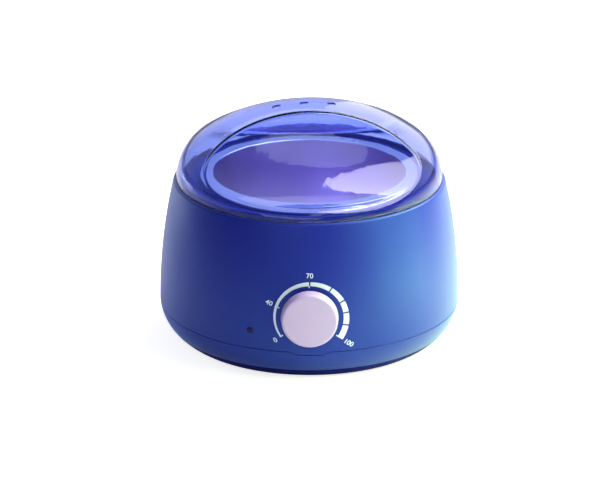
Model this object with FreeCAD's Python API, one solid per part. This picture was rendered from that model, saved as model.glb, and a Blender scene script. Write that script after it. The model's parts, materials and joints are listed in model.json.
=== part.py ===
"""Table-top wax heater: a round two-part housing with a fixed heating well, a lift-out pot,
a see-through domed lid with a scooped grip ridge, and a rotary thermostat knob at the front.

Millimetres, +Z up. The origin is the centre of the plane that the rubber feet stand on,
and the knob faces -Y.
"""
import FreeCAD
import Part
import math
import os

V = FreeCAD.Vector
X_AXIS = V(1, 0, 0)
Y_AXIS = V(0, 1, 0)
Z_AXIS = V(0, 0, 1)

# Body outline
body_bulge = 9.0
base_draw_in = 13.0
lower_lean = 3.0
foot_height = 1.2
base_plate_height = 6.3
lower_ring_height = 13.5
housing_height = 76.0
wall = 2.4

# Top deck of the housing
deck_margin = 9.6
pot_lip_height = 1.8
pot_lip_width = 5.0
locating_ring_height = 2.5
locating_ring_width = 2.0
lid_clearance = 0.7

# Parting line between housing and lower ring
parting_lip_height = 3.0
parting_lip_thickness = 1.2
parting_clearance = 0.15
parting_tab_width = 24.0
parting_tab_slant = 4.5
parting_tab_depth = 2.0

# Lid
lid_inset = 1.5
lid_height = 46.6
lid_shoulder_round = 31.0
lid_wall = 2.2
lid_edge_round = 0.9
ridge_width = 27.0
scoop_radius = 70.0
scoop_floor_height = 6.4
lid_turn = 3.0
vent_count = 3
vent_pitch = 16.4
vent_offset = -3.2
vent_length = 5.4
vent_width = 3.0

# Wax pot
pot_mouth_radius = 57.5
pot_taper = 5.0
pot_depth = 58.5
pot_wall = 1.2
pot_flange_width = 7.5
pot_flange_thickness = 1.4
pot_corner_round = 8.0
pot_opening_gap = 2.8

# Heating well
well_gap = 1.6
well_floor_gap = 0.4
well_wall = 1.5
well_flange_gap = 0.9
retaining_ring_thickness = 1.2
retaining_ring_margin = 3.0
retaining_ring_gap = 3.0
well_screw_count = 3
well_screw_radius = 1.2
well_screw_head_radius = 2.4
well_screw_head_height = 1.6
well_screw_head_round = 0.6
well_pad_radius = 3.4

# Band heater, its clamp and its insulation
heater_start = 6.0
heater_height = 26.0
heater_thickness = 2.6
heater_split = 8.0
heater_ear_length = 10.0
heater_ear_height = 14.0
heater_ear_thickness = 2.0
clamp_screw_radius = 2.0
clamp_head_radius = 3.6
clamp_head_height = 2.4
clamp_nut_flats = 7.0
insulation_thickness = 4.0
insulation_slot = 30.0
seat_gap = 0.1

# Knob and thermostat
knob_rise = 22.0
knob_radius = 16.7
knob_depth = 7.0
knob_taper = 0.5
knob_edge_round = 1.7
knob_wall = 1.8
knob_inner_round = 0.9
knob_wall_gap = 0.4
hub_radius = 5.5
shaft_radius = 3.0
shaft_clearance = 0.05
shaft_flat = 2.2
shaft_edge_round = 0.5
spring_thickness = 0.5
shaft_hole_radius = 4.5
bushing_radius = 5.0
bushing_length = 5.6
nut_flats = 14.0
nut_thickness = 3.0
thermostat_width = 24.0
thermostat_depth = 10.6
thermostat_height = 26.0
thermostat_corner_round = 1.8
bracket_thickness = 1.4
bracket_width = 44.0
bracket_height = 22.0
bracket_standoff = 6.4
bracket_screw_spacing = 32.0
bracket_boss_radius = 3.2
bracket_screw_radius = 1.05
bracket_screw_head_radius = 2.3
bracket_screw_head_height = 1.1
bracket_screw_bite = 0.8
tab_blade_width = 6.3
tab_blade_thickness = 0.8
tab_blade_length = 8.0
tab_blade_spacing = 12.0

# Indicator
indicator_rise = 11.0
indicator_angle = -22.7
lens_radius = 2.1
lens_flange_radius = 3.1
lamp_radius = 2.5
lamp_length = 6.0
lamp_boss_radius = 4.8
lamp_boss_length = 8.0

# Underside
screw_edge_margin = 7.5
screw_count = 4
screw_radius = 1.45
screw_head_radius = 3.1
screw_head_height = 2.0
screw_head_round = 0.6
screw_boss_radius = 4.0
screw_boss_rise = 9.0
screw_tower_radius = 5.0
screw_tower_cover = 1.5
foot_edge_margin = 11.5
foot_count = 4
foot_radius = 6.0
foot_recess = 1.2
foot_edge_round = 0.6
lower_ring_floor_width = 17.5
plate_vent_count = 12
plate_vent_width = 3.0
plate_vent_length = 16.0
plate_vent_radius = 31.0

# Wiring pieces
gland_bore_radius = 3.3
gland_neck_width = 9.2
gland_flange_radius = 6.6
gland_flange_thickness = 2.2
gland_collar_length = 3.8
gland_collar_radius = 5.7
gland_collar_taper = 1.0
terminal_end_wall = 2.6
terminal_depth = 16.0
terminal_height = 13.0
terminal_edge_gap = 2.0
terminal_ways = 3
terminal_pitch = 10.6
terminal_wire_radius = 2.1
terminal_screw_radius = 2.6
terminal_wire_drop = 2.2
fuse_radius = 2.6
fuse_length = 14.0
fuse_setback = 20.0
clip_thickness = 0.8
clip_width = 8.0
clip_foot = 6.0
running_gap = 0.3
hole_gap = 0.05

# Heights and radii that follow from the sizes above
pot_flange_radius = pot_mouth_radius + pot_flange_width
pot_floor_radius = pot_mouth_radius - pot_taper
locating_radius = pot_flange_radius + deck_margin + locating_ring_width
lid_radius = locating_radius + lid_clearance + lid_wall
shoulder_radius = lid_radius + lid_inset
body_radius = shoulder_radius + body_bulge
base_radius = body_radius - base_draw_in
screw_circle_radius = base_radius - screw_edge_margin
foot_circle_radius = base_radius - foot_edge_margin
lower_ring_opening = base_radius - lower_ring_floor_width
plate_floor = foot_height + wall
plate_top = foot_height + base_plate_height
parting = plate_top + lower_ring_height
ring_floor = plate_top + wall
screw_boss_top = parting + screw_boss_rise
knob_height = parting + knob_rise
indicator_height = parting + indicator_rise
deck = parting + housing_height
deck_under = deck - wall
pot_seat = deck + pot_lip_height
pot_top = pot_seat + pot_flange_thickness
pot_floor = pot_top - pot_depth
pot_bottom = pot_floor - pot_wall
deck_opening = pot_mouth_radius + pot_wall + pot_opening_gap
well_mouth = pot_mouth_radius + pot_wall + well_gap
well_base = pot_floor_radius + pot_wall + well_gap
well_floor = pot_bottom - well_floor_gap
well_under = well_floor - well_wall
well_flange_under = deck_under - well_wall
terminal_span = (terminal_ways - 1) * terminal_pitch
terminal_width = terminal_span + 2 * (terminal_screw_radius + terminal_end_wall)
terminal_reach = math.sqrt((lower_ring_opening - terminal_edge_gap) ** 2 - (terminal_width / 2.0) ** 2)
terminal_setback = terminal_reach - terminal_depth / 2.0
well_screw_circle = locating_radius - locating_ring_width / 2.0
well_flange_radius = well_screw_circle - well_pad_radius - well_flange_gap


def tangent_radius(run, rise):
    """Radius of an arc that starts upright and moves in by run over a height of rise."""
    return (run * run + rise * rise) / (2.0 * run)


upper_curve = tangent_radius(body_radius - shoulder_radius, housing_height)
lower_drop = parting - foot_height
lower_reach = tangent_radius(base_draw_in, lower_drop) + lower_drop * lower_lean / base_draw_in
lower_curve = math.hypot(lower_reach, lower_lean)


def wall_radius(height, inset=0.0):
    """Radius of the body's outside at a height, less an inset square to the wall.

    Above the parting line the wall is one arc that starts upright. Below it the arc's centre
    lies a lean above the parting line, so the lower shell starts to draw in there at once.
    """
    rise = height - parting
    if rise >= 0:
        return body_radius - upper_curve + math.sqrt((upper_curve - inset) ** 2 - rise ** 2)
    return body_radius - lower_reach + math.sqrt((lower_curve - inset) ** 2 - (lower_lean - rise) ** 2)


def point(radius, height):
    """A point of the half plane that is turned about Z."""
    return V(radius, 0, height)


def turned(edges):
    """Solid made by turning a closed outline of edges about Z."""
    face = Part.Face(Part.Wire(Part.__sortEdges__(edges)))
    return face.revolve(V(0, 0, 0), Z_AXIS, 360)


def line(start, end):
    """Straight edge."""
    return Part.LineSegment(start, end).toShape()


def outline(corners):
    """Edges of a closed outline of (radius, height, round) corners in the half plane.

    A corner with a round above zero is replaced by a tangent arc of that radius.
    """
    count = len(corners)
    starts = []
    ends = []
    arcs = []
    for index, (radius, height, rounding) in enumerate(corners):
        corner = point(radius, height)
        if rounding <= 0:
            starts.append(corner)
            ends.append(corner)
            continue
        before = (point(*corners[index - 1][:2]) - corner).normalize()
        after = (point(*corners[(index + 1) % count][:2]) - corner).normalize()
        half = before.getAngle(after) / 2.0
        reach = rounding / math.tan(half)
        bisector = (before + after).normalize()
        middle = corner + bisector * (rounding / math.sin(half) - rounding)
        starts.append(corner + before * reach)
        ends.append(corner + after * reach)
        arcs.append(Part.Arc(starts[-1], middle, ends[-1]).toShape())
    sides = []
    for index in range(count):
        target = starts[(index + 1) % count]
        if ends[index].distanceToPoint(target) > 1e-6:
            sides.append(line(ends[index], target))
    return sides + arcs


def turned_corners(corners):
    """Solid of revolution from (radius, height, round) corners."""
    return turned(outline(corners))


def body_solid(inset, low, high):
    """The body's outside, drawn in by an inset and filled to the axis.

    The two heights lie on the same side of the parting line, or one of them on it.
    """
    nudge = 1e-9 if low >= parting else -1e-9
    bottom, middle, top = [
        point(wall_radius(height + nudge, inset), height) for height in (low, (low + high) / 2.0, high)]
    return turned([
        Part.Arc(bottom, middle, top).toShape(),
        line(top, point(0, high)),
        line(point(0, high), point(0, low)),
        line(point(0, low), bottom)])


def tube(outer, inner, low, high):
    """Upright tube between two heights."""
    height = high - low
    return rod(outer, V(0, 0, low), Z_AXIS, height).cut(rod(inner, V(0, 0, low), Z_AXIS, height))


def rod(radius, start, direction, length):
    """Cylinder from a start point along a direction."""
    return Part.makeCylinder(radius, length, start, direction)


def block(x_size, y_size, z_size, centre):
    """Box about its centre."""
    corner = centre - V(x_size, y_size, z_size) * 0.5
    return Part.makeBox(x_size, y_size, z_size, corner)


def around(shape, count, first_angle=0.0):
    """Copies of a shape spaced evenly about Z."""
    copies = []
    for index in range(count):
        copy = shape.copy()
        copy.rotate(V(0, 0, 0), Z_AXIS, first_angle + 360.0 * index / count)
        copies.append(copy)
    return copies


def add(shape, others):
    """Shape joined with a list of others, without leftover seams."""
    return shape.fuse(others).removeSplitter()


def cut(shape, others):
    """Shape with a list of others taken away."""
    return shape.cut(others)


SCREW_START = 180.0 / screw_count


def cover_screw_bosses():
    """Four bosses for the underside's screws, each tied to the housing wall by a gusset."""
    gusset_low = parting + parting_lip_height + parting_clearance + running_gap
    gusset_height = screw_boss_top - gusset_low
    gusset_length = body_radius - screw_circle_radius
    start = V(screw_circle_radius, 0, ring_floor)
    boss = rod(screw_boss_radius, start, Z_AXIS, screw_boss_top - ring_floor)
    gusset_centre = V(screw_circle_radius + gusset_length / 2.0, 0, gusset_low + gusset_height / 2.0)
    gusset = block(gusset_length, wall, gusset_height, gusset_centre)
    inside = body_solid(wall / 2.0, parting, deck_under)
    boss = boss.fuse(gusset.common(inside))
    pilot = rod(screw_radius + hole_gap, start, Z_AXIS, screw_boss_top - ring_floor - wall)
    return around(boss.cut(pilot), screw_count, SCREW_START)


def front_wall(height):
    """Y of the front wall's inner face at the middle, at a height."""
    return -wall_radius(height, wall)


bracket_front = front_wall(knob_height) + bracket_standoff
bracket_back = bracket_front + bracket_thickness


def bracket_bosses():
    """Two bosses inside the front wall for the thermostat bracket's screws."""
    inside = body_solid(wall / 2.0, parting, deck_under)
    bosses = []
    for side in (-1, 1):
        start = V(side * bracket_screw_spacing / 2.0, bracket_front, knob_height)
        bosses.append(rod(bracket_boss_radius, start, -Y_AXIS, body_radius).common(inside))
    return bosses


def bracket_pilots():
    """Pilot holes of the bracket's screws, from the bosses into the front wall."""
    pilots = []
    for side in (-1, 1):
        start = V(side * bracket_screw_spacing / 2.0, bracket_front, knob_height)
        pilots.append(rod(bracket_screw_radius + hole_gap, start, -Y_AXIS, bracket_screw_length()))
    return pilots


def bracket_screw_length():
    """Length of a bracket screw inside its boss, short of the outer wall."""
    half = bracket_screw_spacing / 2.0
    inner_wall = wall_radius(knob_height, wall)
    boss_length = math.sqrt(inner_wall * inner_wall - half * half) + bracket_front
    return boss_length + bracket_screw_bite


def radial_rod(radius, start, length):
    """Cylinder that points out of the body along the indicator's axis."""
    shape = rod(radius, V(0, -start, indicator_height), -Y_AXIS, length)
    shape.rotate(V(0, 0, 0), Z_AXIS, indicator_angle)
    return shape


def make_outer_housing():
    """Upper shell with the deck, the pot's lip, the lid's locating ring and the inner bosses."""
    shell = body_solid(0, parting, deck)
    rim = [edge for edge in shell.Edges
           if abs(edge.BoundBox.ZMin - deck) < 1e-6 and edge.BoundBox.XMax > shoulder_radius / 2.0]
    shell = shell.makeFillet(lid_inset, rim)
    tab = body_solid(0, parting - parting_tab_depth, parting).common(parting_tab(0))
    tab = tab.cut(body_solid(wall, parting - parting_tab_depth, parting))
    shell = shell.cut(body_solid(wall, parting, deck_under)).fuse(tab)
    extras = [tube(deck_opening + pot_lip_width, deck_opening, deck_under, pot_seat)]
    extras.append(tube(locating_radius, locating_radius - locating_ring_width,
                       deck_under, deck + locating_ring_height))
    pad = rod(well_pad_radius, V(well_screw_circle, 0, well_flange_under), Z_AXIS, deck - well_flange_under)
    extras += around(pad, well_screw_count)
    extras += cover_screw_bosses()
    extras += bracket_bosses()
    inner_face = wall_radius(indicator_height, wall)
    extras.append(radial_rod(lamp_boss_radius, inner_face - lamp_boss_length, lamp_boss_length + wall / 2.0))
    shell = add(shell, extras)
    pilot = rod(well_screw_radius + hole_gap, V(well_screw_circle, 0, well_flange_under), Z_AXIS,
                deck + wall / 2.0 - well_flange_under)
    holes = around(pilot, well_screw_count) + bracket_pilots()
    holes.append(rod(deck_opening, V(0, 0, well_flange_under), Z_AXIS, pot_top))
    holes.append(rod(shaft_hole_radius, V(0, bracket_front, knob_height), -Y_AXIS, body_radius))
    holes.append(radial_rod(lens_radius + hole_gap, inner_face - wall, body_radius))
    holes.append(radial_rod(lens_flange_radius + hole_gap, inner_face - 2 * lamp_boss_length,
                            2 * lamp_boss_length))
    holes.append(gland_seat())
    return cut(shell, holes)


def parting_tab(gap):
    """Prism of the tab under the knob, narrower towards its lower edge and widened all round by a gap."""
    flank = math.hypot(parting_tab_slant, parting_tab_depth)
    half_top = parting_tab_width / 2.0 + gap * flank / parting_tab_depth
    depth = parting_tab_depth + gap
    half_low = half_top - parting_tab_slant * depth / parting_tab_depth
    corners = [V(half_top, 0, parting), V(half_low, 0, parting - depth),
               V(-half_low, 0, parting - depth), V(-half_top, 0, parting)]
    return Part.Face(Part.makePolygon(corners + corners[:1])).extrude(V(0, -2 * body_radius, 0))


def gland_seat():
    """Square opening through the back wall, half in each shell, for the gland's neck."""
    width = gland_neck_width + 2 * hole_gap
    return block(width, 2 * body_radius, width, V(0, body_radius, parting))


def make_lower_ring():
    """Lower shell below the parting line, with an inner lip that locates the upper shell."""
    ring = body_solid(0, plate_top, parting)
    ring = ring.cut(body_solid(wall, ring_floor, parting))
    lip_outer = wall + parting_clearance
    lip_inner = lip_outer + parting_lip_thickness
    lip_top = parting + parting_lip_height
    lip = body_solid(lip_outer, parting, lip_top)
    lip = lip.fuse(body_solid(wall / 2.0, parting - parting_lip_height, parting))
    lip = lip.cut(rod(wall_radius(parting, lip_inner), V(0, 0, parting - parting_lip_height), Z_AXIS,
                      2 * parting_lip_height))
    ring = add(ring, [lip])
    notch = body_solid(0, parting - parting_lip_height, parting).common(parting_tab(parting_clearance))
    notch = notch.cut(body_solid(lip_outer, parting - parting_lip_height, parting))
    gland_room = 2 * (gland_flange_radius + running_gap)
    gap_centre = V(0, wall_radius(parting, wall) - gland_room, parting)
    gap = block(gland_room, 2 * gland_room, gland_room, gap_centre)
    screw_hole = rod(screw_radius + running_gap, V(screw_circle_radius, 0, plate_top), Z_AXIS, wall)
    holes = around(screw_hole, screw_count, SCREW_START)
    holes.append(rod(lower_ring_opening, V(0, 0, plate_top), Z_AXIS, wall))
    holes.append(gland_seat())
    return cut(ring, [notch, gap] + holes)


def make_base_plate():
    """Dark dished bottom with screw towers, foot recesses and ventilation slots."""
    plate = body_solid(0, foot_height, plate_top)
    plate = plate.cut(body_solid(wall, plate_floor, plate_top))
    tower = rod(screw_tower_radius, V(screw_circle_radius, 0, foot_height), Z_AXIS, base_plate_height)
    plate = add(plate, around(tower, screw_count, SCREW_START))
    bore_depth = base_plate_height - screw_tower_cover
    bore = rod(screw_head_radius + running_gap, V(screw_circle_radius, 0, foot_height), Z_AXIS, bore_depth)
    hole = rod(screw_radius + running_gap, V(screw_circle_radius, 0, foot_height), Z_AXIS, base_plate_height)
    recess = rod(foot_radius + hole_gap, V(foot_circle_radius, 0, foot_height), Z_AXIS, foot_recess)
    slot = rounded_slot(plate_vent_length, plate_vent_width, wall, V(plate_vent_radius, 0, foot_height))
    taken = around(bore.fuse(hole), screw_count, SCREW_START)
    taken += around(recess, foot_count)
    taken += around(slot, plate_vent_count, 180.0 / plate_vent_count)
    return cut(plate, taken)


def rounded_slot(length, width, height, centre):
    """Upright slot with round ends, long in X, standing on its centre point."""
    straight = length - width
    slot = block(straight, width, height, centre + V(0, 0, height / 2.0))
    for side in (-1, 1):
        slot = slot.fuse(rod(width / 2.0, centre + V(side * straight / 2.0, 0, 0), Z_AXIS, height))
    return slot.removeSplitter()


def make_rubber_feet():
    """Round rubber feet pressed into the recesses of the base plate."""
    foot = turned_corners([
        (0, 0, 0), (foot_radius, 0, foot_edge_round),
        (foot_radius, foot_height + foot_recess, 0), (0, foot_height + foot_recess, 0)])
    foot.translate(V(foot_circle_radius, 0, 0))
    return Part.makeCompound(around(foot, foot_count))


def make_base_screws():
    """Long screws that hold the base plate and the lower ring to the upper shell."""
    head_top = plate_top - screw_tower_cover
    tip = screw_boss_top - 2 * wall
    screw = turned_corners([
        (0, head_top - screw_head_height, 0),
        (screw_head_radius, head_top - screw_head_height, screw_head_round),
        (screw_head_radius, head_top, 0), (screw_radius, head_top, 0),
        (screw_radius, tip - screw_radius, 0), (0, tip, 0)])
    screw.translate(V(screw_circle_radius, 0, 0))
    return Part.makeCompound(around(screw, screw_count, SCREW_START))


def make_heating_well():
    """Fixed drawn cup that takes the pot, with a flange under the deck."""
    return turned_corners([
        (0, well_floor, 0),
        (well_base, well_floor, pot_corner_round + well_gap),
        (well_mouth, deck_under, 0),
        (well_flange_radius, deck_under, 0),
        (well_flange_radius, well_flange_under, 0),
        (well_outer(well_flange_under), well_flange_under, well_wall),
        (well_outer(well_under), well_under, pot_corner_round + well_gap + well_wall),
        (0, well_under, 0)])


def well_outer(height):
    """Radius of the outside of the well's tapered wall at a height."""
    slope = (well_mouth - well_base) / (deck_under - well_floor)
    thickness = well_wall * math.sqrt(1.0 + slope * slope)
    return well_base + slope * (height - well_floor) + thickness


def make_well_retaining_ring():
    """Flat steel ring that clamps the well's flange against the deck."""
    low = well_flange_under - retaining_ring_thickness
    inner = well_outer(low) + retaining_ring_gap
    ring = tube(well_screw_circle + retaining_ring_margin, inner, low, well_flange_under)
    start = V(well_screw_circle, 0, low)
    hole = rod(well_screw_radius + running_gap, start, Z_AXIS, retaining_ring_thickness)
    return cut(ring, around(hole, well_screw_count))


def make_well_screws():
    """Screws of the retaining ring, driven up into the deck."""
    seat = well_flange_under - retaining_ring_thickness
    head_low = seat - well_screw_head_height
    screw = turned_corners([
        (0, head_low, 0), (well_screw_head_radius, head_low, well_screw_head_round),
        (well_screw_head_radius, seat, 0), (well_screw_radius, seat, 0),
        (well_screw_radius, deck, 0), (0, deck, 0)])
    screw.translate(V(well_screw_circle, 0, 0))
    return Part.makeCompound(around(screw, well_screw_count))


heater_low = well_floor + heater_start
heater_high = heater_low + heater_height


def cone_shell(gap, thickness, low, high):
    """Tapered sleeve round the well, a gap away from it."""
    return turned_corners([
        (well_outer(low) + gap, low, 0), (well_outer(high) + gap, high, 0),
        (well_outer(high) + gap + thickness, high, 0), (well_outer(low) + gap + thickness, low, 0)])


def make_band_heater():
    """Split band heater round the well's lower half, with two clamp ears at the back."""
    middle = (heater_low + heater_high) / 2.0
    reach = well_outer(middle) + seat_gap + heater_thickness
    band = cone_shell(seat_gap, heater_thickness, heater_low, heater_high)
    band = band.cut(block(heater_split, 2 * reach, 2 * heater_height, V(0, reach, middle)))
    ears = []
    for side in (-1, 1):
        centre = V(side * (heater_split + heater_ear_thickness) / 2.0,
                   reach + (heater_ear_length - heater_thickness) / 2.0, middle)
        length = heater_ear_length + heater_thickness
        ears.append(block(heater_ear_thickness, length, heater_ear_height, centre))
    band = add(band, ears)
    band = band.cut(tapered_core())
    hole = rod(clamp_screw_radius + hole_gap, clamp_point() - X_AXIS * heater_split, X_AXIS, 2 * heater_split)
    return band.cut(hole)


def tapered_core():
    """Everything inside the band heater, as one tapered plug."""
    return turned_corners([
        (0, heater_low, 0), (well_outer(heater_low) + seat_gap, heater_low, 0),
        (well_outer(heater_high) + seat_gap, heater_high, 0), (0, heater_high, 0)])


def clamp_point():
    """Centre of the clamp screw, between the band heater's ears."""
    middle = (heater_low + heater_high) / 2.0
    reach = well_outer(middle) + seat_gap + heater_thickness
    return V(0, reach + heater_ear_length / 2.0, middle)


def make_clamp_screw():
    """Screw and nut that draw the band heater's ears together."""
    outside = heater_split / 2.0 + heater_ear_thickness
    centre = clamp_point()
    shank = rod(clamp_screw_radius, centre - X_AXIS * outside, X_AXIS, 2 * (outside + clamp_head_height))
    cap = rod(clamp_head_radius, centre - X_AXIS * (outside + clamp_head_height), X_AXIS, clamp_head_height)
    nut = hexagon(clamp_nut_flats, clamp_head_height, centre + X_AXIS * outside, X_AXIS)
    return add(shank, [cap, nut])


def hexagon(flats, thickness, start, direction):
    """Hexagonal prism from a start point along a direction."""
    corner = flats / math.sqrt(3.0)
    points = []
    for index in range(7):
        angle = math.radians(60.0 * index)
        points.append(V(corner * math.cos(angle), corner * math.sin(angle), 0))
    prism = Part.Face(Part.makePolygon(points)).extrude(V(0, 0, thickness))
    prism.Placement = FreeCAD.Placement(start, FreeCAD.Rotation(Z_AXIS, direction))
    return prism


def make_heater_insulation():
    """Mineral fibre sleeve round the band heater, open at the back for the clamp."""
    sleeve = cone_shell(2 * seat_gap + heater_thickness, insulation_thickness, heater_low, heater_high)
    reach = body_radius
    middle = (heater_low + heater_high) / 2.0
    return sleeve.cut(block(insulation_slot, 2 * reach, 2 * heater_height, V(0, reach, middle)))


def make_wax_pot():
    """Lift-out pot with a flat flange that rests on the deck's lip."""
    half = pot_flange_thickness / 2.0
    slope = (pot_mouth_radius - pot_floor_radius) / pot_depth
    outer_top = pot_mouth_radius + pot_wall - slope * pot_flange_thickness
    outer_bottom = pot_floor_radius + pot_wall - slope * pot_wall
    return turned_corners([
        (0, pot_floor, 0),
        (pot_floor_radius, pot_floor, pot_corner_round),
        (pot_mouth_radius, pot_top, half),
        (pot_flange_radius, pot_top, half),
        (pot_flange_radius, pot_seat, half),
        (outer_top, pot_seat, half),
        (outer_bottom, pot_bottom, pot_corner_round + pot_wall),
        (0, pot_bottom, 0)])


def lid_crown_round():
    """Radius of the lid's top, tangent to the shoulder round that stands upright at the rim."""
    return ((lid_radius ** 2 + lid_height ** 2 - 2.0 * lid_radius * lid_shoulder_round)
            / (2.0 * (lid_height - lid_shoulder_round)))


def dome(inset):
    """Solid dome of the lid, drawn in by an inset: a crown and a shoulder, each one round."""
    crown = lid_crown_round()
    crown_centre = point(0, deck + lid_height - crown)
    shoulder_centre = point(lid_radius - lid_shoulder_round, deck)
    across = (shoulder_centre - crown_centre).normalize()
    top = crown_centre + Z_AXIS * (crown - inset)
    top_middle = crown_centre + (across + Z_AXIS).normalize() * (crown - inset)
    meeting = crown_centre + across * (crown - inset)
    shoulder_middle = shoulder_centre + (across + X_AXIS).normalize() * (lid_shoulder_round - inset)
    rim = shoulder_centre + X_AXIS * (lid_shoulder_round - inset)
    return turned([
        Part.Arc(top, top_middle, meeting).toShape(),
        Part.Arc(meeting, shoulder_middle, rim).toShape(),
        line(rim, point(0, deck)),
        line(point(0, deck), top)])


def scoop_axis():
    """Y and Z of a scoop's axis: its round passes the ridge's edge and its own lowest line."""
    half = ridge_width / 2.0
    crown = lid_crown_round()
    edge_height = deck + lid_height - crown + math.sqrt(crown ** 2 - half ** 2)
    axis_height = deck + scoop_floor_height + scoop_radius
    drop = axis_height - edge_height
    return half + math.sqrt(scoop_radius ** 2 - drop ** 2), axis_height


def scoops(inset):
    """The front and rear scoop as cylinders along X, widened by an inset."""
    setback, height = scoop_axis()
    cylinders = []
    for side in (-1, 1):
        start = V(-body_radius, side * setback, height)
        cylinders.append(rod(scoop_radius + inset, start, X_AXIS, 2 * body_radius))
    return cylinders


def make_lid():
    """Domed lid: two scoops leave a grip ridge across it, and the wall follows them inside.

    The lid is round and has no key, so it rests on its seat at any turn.
    """
    outside = cut(dome(0), scoops(0))
    outside = outside.makeFillet(lid_edge_round, scoop_edges(outside))
    inside = cut(dome(lid_wall), scoops(lid_wall))
    lid = outside.cut(inside)
    vents = []
    for index in range(vent_count):
        place = vent_offset + vent_pitch * (index - (vent_count - 1) / 2.0)
        vents.append(rounded_slot(vent_length, vent_width, lid_height, V(place, 0, deck + lid_height / 2.0)))
    lid = cut(lid, vents)
    lid.rotate(V(0, 0, 0), Z_AXIS, lid_turn)
    return lid


def scoop_edges(shape):
    """Edges where a scoop meets the dome: those clear of the lid's rim and not straight."""
    rim_clear = deck + lid_edge_round
    return [edge for edge in shape.Edges if edge.BoundBox.ZMin > rim_clear and edge.BoundBox.XLength > wall]


def front_turned(corners):
    """Solid turned about the knob's axis from (radius, distance out from Z axis, round) corners."""
    shape = turned_corners(corners)
    shape.rotate(V(0, 0, 0), X_AXIS, 90)
    shape.translate(V(0, 0, knob_height))
    return shape


knob_back = body_radius + knob_wall_gap
knob_face = knob_back + knob_depth
hub_end = knob_face - knob_wall
shaft_end = hub_end - running_gap


def make_control_knob():
    """Plain round knob with a softly rounded edge, hollow behind, with a hub for the shaft."""
    knob = front_turned([
        (0, knob_back, 0), (knob_radius, knob_back, 0),
        (knob_radius - knob_taper, knob_face, knob_edge_round), (0, knob_face, 0)])
    hollow = front_turned([
        (hub_radius, knob_back, 0), (knob_radius - knob_wall, knob_back, 0),
        (knob_radius - knob_wall - knob_taper, hub_end, knob_inner_round),
        (hub_radius, hub_end, knob_inner_round)])
    bore = front_turned([
        (0, knob_back, 0), (shaft_radius + shaft_clearance, knob_back, 0),
        (shaft_radius + shaft_clearance, hub_end, 0), (0, hub_end, 0)])
    return cut(knob, [hollow, bore])


def make_thermostat_shaft():
    """Round shaft with a flat at the knob's end."""
    start = thermostat_front() - thermostat_depth / 2.0
    shaft = front_turned([
        (0, start, 0), (shaft_radius, start, 0),
        (shaft_radius, shaft_end, shaft_edge_round), (0, shaft_end, 0)])
    flat_length = knob_depth
    flat = block(2 * shaft_radius, flat_length, shaft_radius,
                 V(0, -shaft_end + flat_length / 2.0, knob_height + shaft_flat + shaft_radius / 2.0))
    return shaft.cut(flat)


def make_knob_spring():
    """Leaf spring between the shaft's flat and the bore of the knob's hub."""
    low = shaft_flat + hole_gap
    high = low + spring_thickness
    half_width = math.sqrt(shaft_radius ** 2 - high ** 2)
    length = shaft_end - knob_back - 2 * running_gap
    centre = V(0, -(knob_back + shaft_end) / 2.0, knob_height + (low + high) / 2.0)
    return block(2 * half_width, length, spring_thickness, centre)


def thermostat_front():
    """Distance from the Z axis to the thermostat's front face, on the back of its bracket."""
    return -bracket_back


def make_thermostat_bracket():
    """Flat plate on two bosses of the front wall that carries the thermostat."""
    centre = V(0, (bracket_front + bracket_back) / 2.0, knob_height)
    plate = block(bracket_width, bracket_thickness, bracket_height, centre)
    holes = [rod(bushing_radius + hole_gap, V(0, bracket_front, knob_height), Y_AXIS, bracket_thickness)]
    for side in (-1, 1):
        start = V(side * bracket_screw_spacing / 2.0, bracket_front, knob_height)
        holes.append(rod(bracket_screw_radius + running_gap, start, Y_AXIS, bracket_thickness))
    return cut(plate, holes)


def make_bracket_screws():
    """Two screws that hold the bracket to its bosses."""
    screws = []
    for side in (-1, 1):
        seat = V(side * bracket_screw_spacing / 2.0, bracket_back, knob_height)
        shank_length = bracket_thickness + bracket_screw_length() - running_gap
        shank = rod(bracket_screw_radius, seat, -Y_AXIS, shank_length)
        head = rod(bracket_screw_head_radius, seat, Y_AXIS, bracket_screw_head_height)
        screws.append(add(shank, [head]))
    return Part.makeCompound(screws)


def make_thermostat_body():
    """Thermostat block with its threaded bushing and two tab terminals."""
    centre = V(0, bracket_back + thermostat_depth / 2.0, knob_height)
    body = block(thermostat_width, thermostat_depth, thermostat_height, centre)
    long_edges = [edge for edge in body.Edges if edge.BoundBox.YLength > thermostat_corner_round]
    body = body.makeFillet(thermostat_corner_round, long_edges)
    bushing = rod(bushing_radius, V(0, bracket_back, knob_height), -Y_AXIS, bushing_length)
    blades = []
    for side in (-1, 1):
        blades.append(block(
            tab_blade_width, tab_blade_thickness, 2 * tab_blade_length,
            centre + V(side * tab_blade_spacing / 2.0, 0, -thermostat_height / 2.0)))
    body = add(body, [bushing] + blades)
    bore_start = -thermostat_front() + thermostat_depth / 2.0 + running_gap
    bore = rod(shaft_radius + shaft_clearance, V(0, bore_start, knob_height), -Y_AXIS, body_radius)
    return body.cut(bore)


def make_thermostat_nut():
    """Hexagonal nut on the bushing, in front of the bracket."""
    nut = hexagon(nut_flats, nut_thickness, V(0, bracket_front, knob_height), -Y_AXIS)
    hole = rod(bushing_radius + hole_gap, V(0, bracket_front, knob_height), -Y_AXIS, nut_thickness)
    return nut.cut(hole)


def make_indicator_lens():
    """Small round lens that fills its hole in the front wall, with a flange behind."""
    inner_face = wall_radius(indicator_height, wall)
    flange = radial_rod(lens_flange_radius, inner_face - wall / 2.0 - hole_gap, wall / 2.0)
    window = radial_rod(lens_radius, inner_face - wall / 2.0, wall / 2.0 + wall + hole_gap)
    return add(flange, [window])


def make_indicator_lamp():
    """Neon lamp behind the lens."""
    front = wall_radius(indicator_height, wall) - wall / 2.0 - running_gap
    return radial_rod(lamp_radius, front - lamp_length, lamp_length)


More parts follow.
